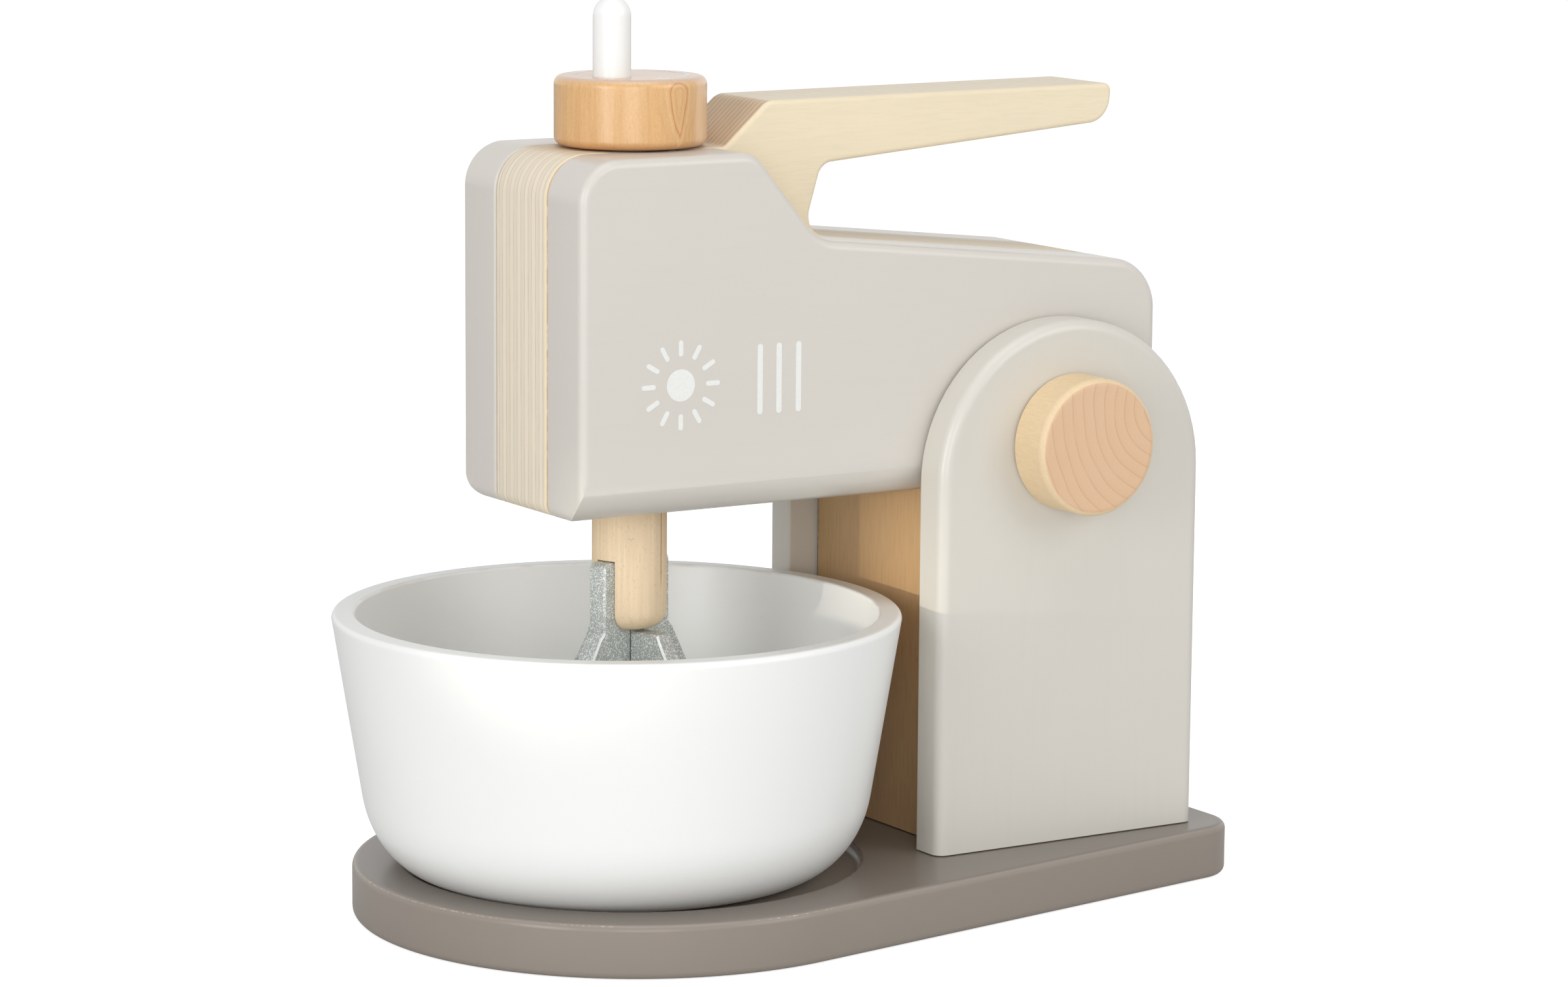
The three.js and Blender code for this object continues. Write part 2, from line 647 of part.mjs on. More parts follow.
// Stand: everything that stays still
const stand = new THREE.Group();
stand.add(
  piece('base_plate', makeBase(), materials.taupePaint),
  piece('near_post', makePost(1), materials.greyPaint),
  piece('far_post', makePost(-1), materials.greyPaint),
  piece('spacer_block', makeBlock(), materials.plywood),
);
screwPlaces.forEach(({ x, y }, i) => {
  const screw = piece(`base_screw_${i + 1}`, makeScrew(), materials.steel);
  screw.position.set(x, y, 0);
  stand.add(screw);
});
postPegPlaces.forEach((place, i) => {
  stand.add(glueDowel(`post_dowel_${i + 1}`, place, postInnerY + postPegDepth));
});

// Bowl, loose in its recess
const bowl = piece('bowl', makeBowl(), materials.whitePaint);
bowl.position.set(bowlCentreX, 0, bowlBottomZ);

// Pivot pin with a knob glued on each end
const pivot = new THREE.Group();
pivot.position.set(pivotX, 0, pivotZ);
const knobSeatY = postOuterY + runningGap;
const pinReach = knobSeatY + pivotSocketDepth - seatGap;
const pivotPin = piece('pivot_pin', rod(pivotPinRadius, -pinReach, pinReach), materials.maple);
pivotPin.rotation.x = quarterTurn;
const nearKnob = piece('near_pivot_knob', makePivotKnob(), materials.beech);
nearKnob.position.y = -knobSeatY;
nearKnob.rotation.x = quarterTurn;
const farKnob = piece('far_pivot_knob', makePivotKnob(), materials.beech);
farKnob.position.y = knobSeatY;
farKnob.rotation.x = -quarterTurn;
pivot.add(pivotPin, nearKnob, farKnob);

// Arm, hung on the pivot
const arm = new THREE.Group();
arm.position.set(pivotX, 0, pivotZ);
const armBody = new THREE.Group();
armBody.position.set(-pivotX, 0, -pivotZ);
armBody.add(
  piece('near_cheek', makeCheek(1), materials.greyPaint),
  piece('far_cheek', makeCheek(-1), materials.greyPaint),
  piece('arm_core', makeCore(), materials.plywood),
);
armPegPlaces.forEach((place, i) => {
  armBody.add(glueDowel(`arm_dowel_${i + 1}`, place, cheekInnerY + armPegDepth));
});

// Crank, upright in the arm's head; its local +X points along the beater's first blade
const crank = new THREE.Group();
crank.position.x = crankX;
crank.rotation.z = halfTurn + THREE.MathUtils.degToRad(crankTurn);
crank.add(
  piece('crank_knob', makeKnob(), materials.beech),
  piece('crank_peg', makePeg(), materials.whitePaint),
  piece('drive_dowel', makeDowel(), materials.maple),
  piece('beater_pin', makeBeaterPin(), materials.steel),
  piece('beater', makeBeater(), materials.silverPlastic),
);
armBody.add(crank);
arm.add(armBody);

const mixer = new THREE.Group();
mixer.add(stand, bowl, pivot, arm);

export default mixer;
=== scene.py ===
# %% [markdown]
# # A wooden toy stand mixer
# A child's mixer of painted and bare wood: a base board with a loose bowl, two posts, and an arm
# that tilts up on a dowel. The arm carries a turned knob, a drive dowel and a plastic beater.
# The frame already holds every piece at its real size. Here each piece that shows is modelled again
# with fine round edges and gets a finish, and it stays where the frame has it.

# %% Load the frame
from math import asin, atan, atan2, cos, degrees, hypot, pi, radians, sin, sqrt, tan

import bmesh
import bpy
from mathutils import Matrix, Vector


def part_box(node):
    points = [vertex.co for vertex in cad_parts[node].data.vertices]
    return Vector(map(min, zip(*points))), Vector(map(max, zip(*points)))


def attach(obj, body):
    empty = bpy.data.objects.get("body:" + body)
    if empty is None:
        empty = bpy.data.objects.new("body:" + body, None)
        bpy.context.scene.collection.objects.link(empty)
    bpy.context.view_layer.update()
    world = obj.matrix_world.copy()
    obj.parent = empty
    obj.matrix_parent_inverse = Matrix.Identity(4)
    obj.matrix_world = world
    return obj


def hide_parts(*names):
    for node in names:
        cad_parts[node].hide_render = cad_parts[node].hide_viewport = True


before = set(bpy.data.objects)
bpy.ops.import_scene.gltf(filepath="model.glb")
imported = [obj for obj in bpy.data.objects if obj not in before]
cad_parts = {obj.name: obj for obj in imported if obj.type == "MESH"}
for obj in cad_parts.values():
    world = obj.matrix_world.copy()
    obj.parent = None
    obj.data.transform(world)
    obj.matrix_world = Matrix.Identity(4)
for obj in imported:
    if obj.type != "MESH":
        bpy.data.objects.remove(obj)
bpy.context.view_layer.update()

# %% [markdown]
# All sizes below are millimetres, because that is how a joiner writes them. Each mesh is scaled to
# metres once, when its piece is finished. Corners of the frame's pieces are read in millimetres
# too.

# %% Units
mm = 0.001
full_turn = 2 * pi
half_turn = pi
quarter_turn = pi / 2


def corners_of(node):
    low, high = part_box(node)
    return low / mm, high / mm


def middle(low, high):
    return [(a + b) / 2 for a, b in zip(low, high)]


base_low, base_high = corners_of("base_plate")
bowl_low, bowl_high = corners_of("bowl")
post_low, post_high = corners_of("near_post")
cheek_low, cheek_high = corners_of("near_cheek")
core_low, core_high = corners_of("arm_core")
knob_low, knob_high = corners_of("crank_knob")
pivot_low, pivot_high = corners_of("near_pivot_knob")
crank_x = middle(knob_low, knob_high)[0]
pivot_x, _, pivot_z = middle(pivot_low, pivot_high)
print("The base is", base_high.z - base_low.z, "mm thick")

# %% [markdown]
# ## Camera
# The photograph was taken from the front left with a long lens. The camera's turn, pitch and place
# were found by matching many points of the object, so it is set by numbers and not by eye.
# There is no depth of field, because a product photograph is sharp from front to back.

# %% Camera
camera_turn = radians(-31.898)
camera_pitch = radians(-9.368)
camera_roll = radians(0.435)
camera_place = Vector((-648.0, -1114.6, 325.8))
camera_lens = 112.83


def placed(name, data):
    made = bpy.data.objects.new(name, data)
    bpy.context.scene.collection.objects.link(made)
    return made


camera_data = bpy.data.cameras.new("photo_camera")
camera_data.sensor_width = 36
camera_data.lens = camera_lens
camera = placed("photo_camera", camera_data)
camera.matrix_world = (
    Matrix.Translation(camera_place * mm)
    @ Matrix.Rotation(camera_turn, 4, "Z")
    @ Matrix.Rotation(quarter_turn + camera_pitch, 4, "X")
    @ Matrix.Rotation(camera_roll, 4, "Z")
)
bpy.context.scene.camera = camera
bpy.context.scene.view_settings.view_transform = "Standard"
print("The camera stands", round(camera_place.length * mm, 2), "m from the frame's origin")

# %% [markdown]
# ## Colours
# Colours are written as they look on a screen, from 0 to 255, and turned into the linear values
# that the renderer counts in. A shade is the same colour, darker or lighter.


# %% Colours
def screen(red, green, blue):
    def linear(value):
        share = value / 255
        return share / 12.92 if share <= 0.04045 else ((share + 0.055) / 1.055) ** 2.4

    return (linear(red), linear(green), linear(blue), 1)


def shade(colour, factor):
    return tuple(channel * factor for channel in colour[:3]) + (1,)


black = (0, 0, 0, 1)
white = (1, 1, 1, 1)
print("Middle grey counts as", round(screen(128, 128, 128)[0], 3), "of white")

# %% [markdown]
# ## A short way to write materials
# Every finish here is made of the same few things: noise for clouds and fibres, cells for specks,
# and mixes of colour. A small class keeps each finish readable. Its patterns are placed in
# millimetres on the piece itself, so they stay with the wood when the piece moves.


# %% Node helper
def add_node(tree, kind, inputs=None, **settings):
    """The outputs of a new node, whose inputs get values or links from other outputs."""
    made = tree.nodes.new("ShaderNode" + kind)
    for key, value in settings.items():
        setattr(made, key, value)
    for key, value in (inputs or {}).items():
        if isinstance(value, bpy.types.NodeSocket):
            tree.links.new(value, made.inputs[key])
        else:
            made.inputs[key].default_value = value
    return made.outputs


# %% Material helper
coat_roughness = 0.18


class Finish:
    def __init__(self, name, roughness, metallic=0.0, coat=0.0):
        self.material = bpy.data.materials.new(name)
        self.material.use_nodes = True
        self.tree = self.material.node_tree
        self.shader = self.tree.nodes["Principled BSDF"]
        levels = {"Roughness": roughness, "Metallic": metallic, "Coat Weight": coat,
                  "Coat Roughness": coat_roughness}
        for key, value in levels.items():
            self.shader.inputs[key].default_value = value
        where = self.node("TexCoord")["Object"]
        self.place = self.node("VectorMath", {0: where, "Scale": 1 / mm}, operation="SCALE")[0]
        self.x, self.y, self.z = self.node("SeparateXYZ", {0: self.place})

    def node(self, kind, inputs=None, **settings):
        return add_node(self.tree, kind, inputs, **settings)

    def maths(self, operation, *values):
        return self.node("Math", dict(enumerate(values)), operation=operation)[0]

    def product(self, first, *others):
        for other in others:
            first = self.maths("MULTIPLY", first, other)
        return first

    def weighted(self, first, weight, second, other_weight):
        return self.maths("MULTIPLY_ADD", first, weight, self.product(second, other_weight))

    def apart(self, value, place):
        """How far a value is from a place, on either side."""
        return self.maths("ABSOLUTE", self.maths("SUBTRACT", value, place))

    def distance(self, across, upward):
        squares = [self.product(value, value) for value in (across, upward)]
        return self.maths("SQRT", self.maths("ADD", *squares))

    def turned_axes(self, first, second, angle):
        """Two coordinates along axes that are turned by an angle."""
        along = self.weighted(first, cos(angle), second, sin(angle))
        return along, self.weighted(first, -sin(angle), second, cos(angle))

    def noise(self, stretch, detail=2.0, rough=0.5):
        """Soft clouds, finer where the stretch is higher: one for all axes, or one for each."""
        if not isinstance(stretch, tuple):
            stretch = (stretch, stretch, stretch)
        spot = self.node("VectorMath", {0: self.place, 1: stretch}, operation="MULTIPLY")[0]
        inputs = {"Vector": spot, "Scale": 1, "Detail": detail, "Roughness": rough}
        return self.node("TexNoise", inputs)[0]

    def cells(self, size):
        """How far a point is from its cell's middle, and a random number of the cell."""
        cells = self.node("TexVoronoi", {"Vector": self.place, "Scale": 1 / size})
        return cells[0], self.node("SeparateColor", {0: cells[1]})[0]

    def between(self, value, low, high):
        """0 at low, 1 at high, and a smooth step from one to the other."""
        inputs = {"Value": value, "From Min": low, "From Max": high}
        return self.node("MapRange", inputs, interpolation_type="SMOOTHSTEP")[0]

    def mix(self, factor, first, second):
        return self.node("Mix", {0: factor, 6: first, 7: second}, data_type="RGBA")[2]

    def tones(self, factor, colour, first, second):
        """One colour in two shades."""
        return self.mix(factor, shade(colour, first), shade(colour, second))

    def stain(self, body, colour, *masks):
        """The body with a colour over it, as strong as all the masks multiplied."""
        return self.mix(self.product(*masks), body, colour)

    def specks(self, spacing, radius, chance):
        """1 on small irregular dots, one at most in each cell of the given spacing."""
        away, number = self.cells(spacing)
        ragged = self.maths("MULTIPLY_ADD", self.noise(3), radius / spacing, away)
        near = self.between(ragged, 1.6 * radius / spacing, radius / spacing)
        return self.product(near, self.maths("LESS_THAN", number, chance))

    def apply(self, colour, height=None):
        self.tree.links.new(colour, self.shader.inputs["Base Color"])
        if height is not None:
            bump = self.node("Bump", {"Height": height, "Distance": mm, "Strength": 1})
            self.tree.links.new(bump[0], self.shader.inputs["Normal"])
        print(self.material.name, "is made of", len(self.tree.nodes), "nodes")
        return self.material


# %% [markdown]
# ## Painted wood
# The posts, cheeks and base are sprayed with a thin satin paint. Under it the grain still shows as
# very fine ridges, the spray leaves a faint orange peel, and a few dust specks are caught in it.
# The grain runs along the board, so the noise is stretched that way.

# %% Painted wood
grey_roughness = 0.42


def painted(name, colour, along, roughness):
    look = Finish(name, roughness, coat=0.4)
    fibre = look.noise({"x": (0.03, 0.5, 0.5), "z": (0.5, 0.5, 0.03)}[along], detail=4, rough=0.6)
    peel = look.noise(1.6, detail=1)
    body = look.tones(look.noise(0.018, detail=3), colour, 0.975, 1.02)
    body = look.stain(body, shade(colour, 0.985), look.between(fibre, 0.45, 0.8))
    body = look.stain(body, shade(colour, 0.45), look.specks(17, 0.16, 0.4))
    body = look.stain(body, shade(colour, 1.2), look.specks(23, 0.15, 0.3))
    return look, body, look.weighted(fibre, 0.009, peel, 0.008)


look, body, height = painted("grey_paint_upright", screen(217, 213, 204), "z", grey_roughness)
grey_upright = look.apply(body, height)
look, body, height = painted("grey_paint_level", screen(216, 211, 203), "x", grey_roughness)
grey_level = look.apply(body, height)

# %% [markdown]
# The base's paint is darker and its upper edge is worn: a thin broken line where the pale wood
# nearly comes through. The mesh marks that edge with an attribute called wear, and noise breaks the
# line up. The recess for the bowl was routed after a first coat, so its rim shows a hair of brown
# wood. The flat top is painted darker, as painted shade.

# %% Base paint
recess_x = -1.8
recess_radius = 62
look, body, height = painted("taupe_paint", screen(142, 132, 122), "x", 0.5)
wear = look.node("Attribute", attribute_name="wear")["Fac"]
broken = look.between(look.noise(1.1, detail=3, rough=0.7), 0.5, 0.62)
patches = look.between(look.noise(0.03, detail=1), 0.42, 0.6)
front_part = look.between(look.x, 30, -5)
body = look.stain(body, screen(170, 160, 146), wear, 0.18)
body = look.stain(
    body, screen(214, 201, 174), front_part, look.between(wear, 0.55, 0.95), broken, patches)
away = look.distance(look.maths("SUBTRACT", look.x, recess_x), look.y)
rim = look.between(look.apart(away, recess_radius), 0.45, 0.15)
upper = look.between(look.z, base_high.z - 0.5, base_high.z - 0.2)
bare = look.between(look.noise(0.4, detail=3, rough=0.7), 0.32, 0.55)
body = look.stain(body, screen(116, 70, 44), rim, upper, bare)
# The flat top is painted darker: painted shade, since less light falls on it
top = look.between(look.z, base_high.z - 0.5, base_high.z - 0.05)
taupe_paint = look.apply(look.stain(body, black, top, 0.3), height)

# %% [markdown]
# ## Plywood
# The arm's core and handle are birch plywood: fourteen thin veneers, whose grain runs along and
# across in turn. On the sawn edges they show as fine lines with darker glue between them, and on
# the flat sides only the outer veneer shows. Counting the layers from the board's depth gives both.

# %% Plywood
# By the axis of the depth: how the outer veneer's figure and fibres stretch, and the fibres' shade
veneer_grain = {
    "x": ((1.0, 0.3, 0.02), (1.0, 1.8, 0.1), 0.86),
    "y": ((0.02, 1.0, 0.13), (0.12, 1.0, 1.6), 0.955),
}


def plywood(name, axis, centre, half_depth, layers, edge_colour, cross_colour, face_colour):
    """Returns the finish, its colour, its height and a mask of the sawn edges."""
    look = Finish(name, 0.55)
    depth = look.maths("SUBTRACT", {"x": look.x, "y": look.y}[axis], centre)
    wobble = look.product(look.noise(0.05, detail=1), 0.3)
    level = look.maths("DIVIDE", look.maths("ADD", depth, wobble), 2 * half_depth / layers)
    index = look.maths("FLOOR", level)
    part = look.maths("SUBTRACT", level, index)
    chance = look.node("TexWhiteNoise", {"W": index}, noise_dimensions="1D")[0]
    streak = look.noise((0.35, 5.0, 0.35), detail=3, rough=0.6)
    pores = look.noise((2.6, 6.0, 2.6), detail=2, rough=0.7)
    along = look.tones(streak, edge_colour, 0.97, 1.03)
    across = look.tones(pores, cross_colour, 0.92, 1.07)
    layer = look.mix(look.maths("PINGPONG", index, 1), along, across)
    layer = look.stain(layer, shade(edge_colour, 0.9), chance, 0.2)
    nearest = look.maths("MINIMUM", part, look.maths("SUBTRACT", 1, part))
    glue = look.between(nearest, 0.11, 0.02)
    gaps = look.between(look.noise((0.12, 1.0, 0.12)), 0.1, 0.85)
    layer = look.stain(layer, shade(edge_colour, 0.62), glue, gaps)
    figure_stretch, fibre_stretch, fibre_shade = veneer_grain[axis]
    fibre = look.noise(fibre_stretch, detail=3, rough=0.6)
    face = look.tones(look.noise(figure_stretch, detail=4, rough=0.55), face_colour, 0.96, 1.03)
    face = look.stain(face, shade(face_colour, fibre_shade), look.between(fibre, 0.4, 0.75))
    skin = look.between(look.maths("ABSOLUTE", depth), half_depth - 0.95, half_depth - 0.75)
    sawn = look.maths("SUBTRACT", 1, skin)
    height = look.product(look.weighted(pores, 0.02, glue, -0.03), sawn)
    return look, look.mix(skin, layer, face), height, sawn


# %% Core plywood
core_half = core_high.y
core_layers = 14
look, body, height, sawn = plywood(
    "birch_plywood", "y", 0, core_half, core_layers,
    screen(242, 230, 209), screen(236, 223, 201), screen(241, 226, 196),
)
# Painted shade and warm bounce light: a broken brown line along the joint beside the cheeks
joint_shade = look.between(look.maths("ABSOLUTE", look.y), core_half - 0.5, core_half - 0.3)
shade_breakup = look.between(look.noise(0.3, detail=2), 0.25, 0.6)
front_part = look.between(look.x, cheek_low.x + 22, cheek_low.x + 12)
body = look.stain(body, screen(205, 160, 108), joint_shade, shade_breakup, front_part, 0.75)
# The handle's slope is painted brown: partly the saw's browning, mostly painted shade under the
# knob
slope_foot, slope_head = (18.3, 205.5), (31.5, 217.2)
slope_angle = atan2(slope_head[1] - slope_foot[1], slope_head[0] - slope_foot[0])
from_foot = [look.maths("SUBTRACT", look.x, slope_foot[0]),
             look.maths("SUBTRACT", look.z, slope_foot[1])]
out_of_slope = look.turned_axes(*from_foot, slope_angle)[1]
burnt_and_shaded = look.product(
    look.between(out_of_slope, -0.9, -0.4),
    look.between(look.x, slope_head[0] + 5, slope_head[0] - 2),
    look.between(look.z, slope_foot[1] - 1, slope_foot[1] + 1), sawn)
slope_streaks = look.noise((0.25, 2.4, 0.25), detail=3, rough=0.6)
brown = look.mix(slope_streaks, screen(150, 112, 70), screen(206, 172, 128))
stripe = look.maths("PINGPONG", look.maths("DIVIDE", look.y, 2 * core_half / core_layers), 0.5)
brown = look.stain(brown, screen(226, 202, 168), look.between(stripe, 0.2, 0.3), 0.4)
core_ply = look.apply(look.stain(body, brown, burnt_and_shaded, 0.7), height)

# %% Block plywood
block_low, block_high = corners_of("spacer_block")
block_x = middle(block_low, block_high)[0]
block_layers = 34
look, body, height, sawn = plywood(
    "block_plywood", "x", block_x, block_high.x - block_x, block_layers,
    screen(228, 204, 164), screen(214, 190, 150), screen(200, 163, 118),
)
# Beside the far post a dark ragged line runs along the block's edge
ragged = look.maths(
    "MULTIPLY_ADD", look.noise((1, 1, 0.8), detail=4, rough=0.7), 1.3, look.y)
dark_ragged_edge = look.between(ragged, block_high.y - 0.2, block_high.y + 0.1)
block_ply = look.apply(look.stain(body, screen(74, 54, 36), dark_ragged_edge, 0.85), height)

# %% [markdown]
# ## Turned wood
# The knobs are turned from beech. Their sides show straight grain with short fine pores, and their
# end faces show growth rings as arcs round the tree's middle, which lies outside the knob.


# %% Grain and pores
def along_axis(axis, across, along):
    """Stretches of a noise that runs along one axis."""
    return {"z": (across, across, along), "y": (across, along, across)}[axis]


def beech_side(look, axis, colour, pore_colour):
    """Straight grain: wide soft bands, fine fibres and short dark pores along the axis."""
    bands = look.noise(along_axis(axis, 0.22, 0.015), detail=2)
    fibre = look.noise(along_axis(axis, 2.2, 0.25), detail=4, rough=0.7)
    pores = look.between(look.noise(along_axis(axis, 4.5, 1.1), detail=1), 0.6, 0.72)
    body = look.tones(bands, colour, 0.94, 1.05)
    body = look.stain(body, shade(colour, 0.92), look.between(fibre, 0.35, 0.7))
    return look.stain(body, pore_colour, pores, 0.3), fibre


def growth_rings(look, across, upward, spacing):
    """1 on the thin dark line that ends each year's growth, fading in and out along it."""
    drift = look.noise(0.05, detail=2)
    distance = look.distance(across, upward)
    distance = look.maths("MULTIPLY_ADD", drift, 0.8 * spacing, distance)
    phase = look.maths("FRACT", look.maths("DIVIDE", distance, spacing))
    fading = look.between(look.noise(0.12, detail=1), 0.15, 0.5)
    line = look.product(
        look.between(phase, 0.82, 0.95), look.between(phase, 1.0, 0.96), fading)
    return look.maths("MAXIMUM", line, look.product(look.maths("POWER", phase, 3), 0.35))


# %% [markdown]
# The crank's knob has a clear gloss lacquer. Where one ring only just touches its side, it shows as
# a long oval, called a flame: wide and closed above, tapering to a point below. Its ends soak up
# more lacquer and look pinker.

# %% Crank knob wood
look = Finish("beech_lacquered", 0.36, coat=0.5)
across = look.maths("SUBTRACT", look.x, crank_x)
body, fibre = beech_side(look, "z", screen(229, 182, 124), screen(190, 132, 80))
shimmer = look.between(look.noise((2.6, 2.6, 1.4), detail=3, rough=0.75), 0.52, 0.72)
body = look.stain(body, screen(238, 200, 148), shimmer, 0.7)
streaks = look.between(look.noise((1.1, 1.1, 0.035), detail=3, rough=0.65), 0.46, 0.66)
body = look.stain(body, screen(212, 160, 104), streaks, 0.4)
# How far a point lies in front of the knob's axis, seen from the flame, and to the flame's right
flame_angle = radians(-81)
front, rightward = look.turned_axes(across, look.y, flame_angle)
pink = look.maths("MULTIPLY_ADD", streaks, -0.35, 0.95)
body = look.stain(body, screen(240, 200, 160), look.between(rightward, 4.5, 8.5), pink)
# The knob's foot is painted darker and redder: painted shade where it sits on the arm
foot_shade = look.between(look.z, knob_low.z + 2.6, knob_low.z + 0.7)
body = look.stain(body, screen(178, 116, 68), foot_shade, 0.4)

# %% Flame
flame_half_width = 3.0
flame_rise, flame_fall = 2.4, 11.5
flame_drop = 3.4
wander = look.maths("SUBTRACT", look.noise((0.25, 0.25, 0.12), detail=2), 0.5)
drop = look.maths("SUBTRACT", knob_high.z - flame_drop, look.z)
wide = look.maths("DIVIDE", look.maths("MULTIPLY_ADD", wander, 1.6, rightward), flame_half_width)
below = look.maths("DIVIDE", look.maths("MAXIMUM", drop, 0), flame_fall)
above = look.maths("DIVIDE", look.maths("MINIMUM", drop, 0), flame_rise)
oval = look.maths("ADD", look.distance(wide, above), look.maths("POWER", below, 1.6))
facing = look.between(front, 4, 12)
body = look.stain(body, screen(232, 188, 132), look.between(oval, 1.0, 0.7), facing, 0.4)
dark_line, pale_line = screen(196, 120, 66), screen(246, 214, 172)
for colour, size, width, strength in (
    (dark_line, 1.0, 0.12, 0.7), (dark_line, 0.5, 0.22, 0.2),
    (dark_line, 2.2, 0.3, 0.1), (pale_line, 1.35, 0.2, 0.22),
):
    line = look.between(look.apart(oval, size), width, 0.0)
    body = look.stain(body, colour, line, facing, strength)
body = look.stain(body, screen(140, 96, 60), look.specks(7, 0.24, 0.3))

# %% Crank knob's end
end_fibre = look.noise((0.6, 3.5, 1), detail=4, rough=0.6)
end_body = look.mix(
    end_fibre, shade(screen(214, 182, 156), 0.94), shade(screen(218, 188, 162), 1.05))
tree_middle = [look.maths("ADD", across, 34), look.maths("ADD", look.y, 20)]
end_body = look.stain(end_body, screen(196, 152, 120), growth_rings(look, *tree_middle, 2.6), 0.3)
end = look.between(look.z, knob_high.z - 1.3, knob_high.z - 0.2)
knob_beech = look.apply(look.mix(end, body, end_body), look.product(fibre, 0.008))

# %% [markdown]
# The side knobs are left matt. Their faces are end grain with clear arcs, and their turned chamfer
# is painted paler as a painted highlight, with a rusty fleck here and there where the tool tore the
# wood.

# %% Side knob wood
look = Finish("beech_matt", 0.55)
body, fibre = beech_side(look, "y", screen(239, 213, 172), screen(214, 172, 124))
tree_middle = [look.maths("SUBTRACT", look.x, pivot_x + 23.4),
               look.maths("SUBTRACT", look.z, pivot_z + 10.8)]
ring = growth_rings(look, *tree_middle, 3.4)
end_dots = look.noise((2.2, 0.5, 2.2), detail=3, rough=0.7)
end_cloud = look.noise(0.09, detail=2)
end_body = look.mix(
    end_dots, shade(screen(226, 189, 154), 0.93), shade(screen(231, 196, 162), 1.05))
end_body = look.stain(end_body, screen(222, 182, 142), end_cloud, 0.5)
end_body = look.stain(end_body, screen(203, 156, 118), ring, 0.5)
knob_face = -pivot_low.y
depth = look.maths("ABSOLUTE", look.y)
chamfer = look.product(look.between(depth, knob_face - 2.2, knob_face - 1.5),
                       look.between(depth, knob_face - 0.15, knob_face - 0.5))
# The chamfer is painted paler all round: a painted highlight
body = look.stain(body, screen(246, 226, 200), chamfer, 0.12)
flecks = look.specks(5, 0.35, 0.3)
outer_part = look.between(depth, knob_face - 4, knob_face - 2)
body = look.stain(body, screen(196, 140, 92), flecks, outer_part, 0.6)
end = look.between(depth, knob_face - 0.35, knob_face - 0.1)
side_beech = look.apply(look.mix(end, body, end_body), look.product(end_dots, 0.012))

# %% [markdown]
# The drive dowel and the hidden pins are plain maple rods with fine straight lines along them. One
# darker vein runs down the drive dowel's right side and ends above its tip.

# %% Dowel wood
maple = screen(245, 221, 186)
vein_low, vein_high = 87, 93


def dowel_wood(name, axis):
    look = Finish(name, 0.55)
    streak = look.noise(along_axis(axis, 1.1, 0.022), detail=4, rough=0.6)
    cloud = look.noise(along_axis(axis, 0.12, 0.05), detail=2)
    pores = look.between(look.noise(along_axis(axis, 5, 1), detail=1), 0.64, 0.74)
    body = look.tones(look.between(streak, 0.3, 0.7), maple, 0.9, 1.03)
    body = look.stain(body, shade(maple, 0.92), look.between(cloud, 0.4, 0.7))
    body = look.stain(body, screen(186, 142, 102), pores, 0.45)
    sway = look.maths("SUBTRACT", look.noise(along_axis(axis, 0.02, 0.05)), 0.5)
    vein = look.apart(look.maths("MULTIPLY_ADD", sway, 0.5, look.x), crank_x + 4.6)
    vein = look.product(look.between(vein, 0.32, 0.1), look.maths("LESS_THAN", look.y, 0),
                        look.between(look.z, vein_low, vein_high))
    body = look.stain(body, screen(168, 120, 78), vein, 0.75)
    return look.apply(body, look.product(streak, 0.015))


maple_upright = dowel_wood("maple_upright", "z")
maple_across = dowel_wood("maple_across", "y")

# %% [markdown]
# ## White paint
# The bowl and the peg have a smooth white satin lacquer. The bowl's inner rim is where the paint is
# thinnest, and the wood just shows there as a warm broken line. The flat rim on top is a little
# greyer.


# %% White paint
def white_paint(name, colour, roughness):
    look = Finish(name, roughness, coat=0.2)
    peel = look.noise(0.9, detail=2)
    lathe = look.noise((0.01, 0.01, 0.8), detail=2)
    body = look.tones(look.noise(0.02, detail=2), colour, 0.985, 1.01)
    body = look.stain(body, screen(150, 145, 135), look.specks(21, 0.14, 0.35))
    return look, body, look.weighted(peel, 0.012, lathe, 0.01)


look, body, height = white_paint("peg_white", screen(248, 248, 246), 0.35)
peg_white = look.apply(body, height)

# %% Bowl paint
bowl_wall = 6.3
bowl_inner_round = 1.1
bowl_radius = (bowl_high.x - bowl_low.x) / 2
bowl_x = middle(bowl_low, bowl_high)[0]
inner_edge = bowl_radius - bowl_wall + bowl_inner_round * 0.4
look, body, height = white_paint("bowl_white", screen(247, 248, 246), 0.38)
away = look.distance(look.maths("SUBTRACT", look.x, bowl_x), look.y)
thin = look.between(look.apart(away, inner_edge), 0.5, 0.1)
upper = look.between(look.z, bowl_high.z - 1.2, bowl_high.z - 0.4)
broken = look.between(look.noise((0.09, 0.09, 0.5), detail=3), 0.42, 0.62)
body = look.stain(body, screen(222, 198, 178), thin, upper, broken, 0.4)
# The flat rim on top is made a little greyer
greyer_rim_top = look.between(look.z, bowl_high.z - 0.35, bowl_high.z - 0.05)
bowl_white = look.apply(look.stain(body, black, greyer_rim_top, 0.15), height)
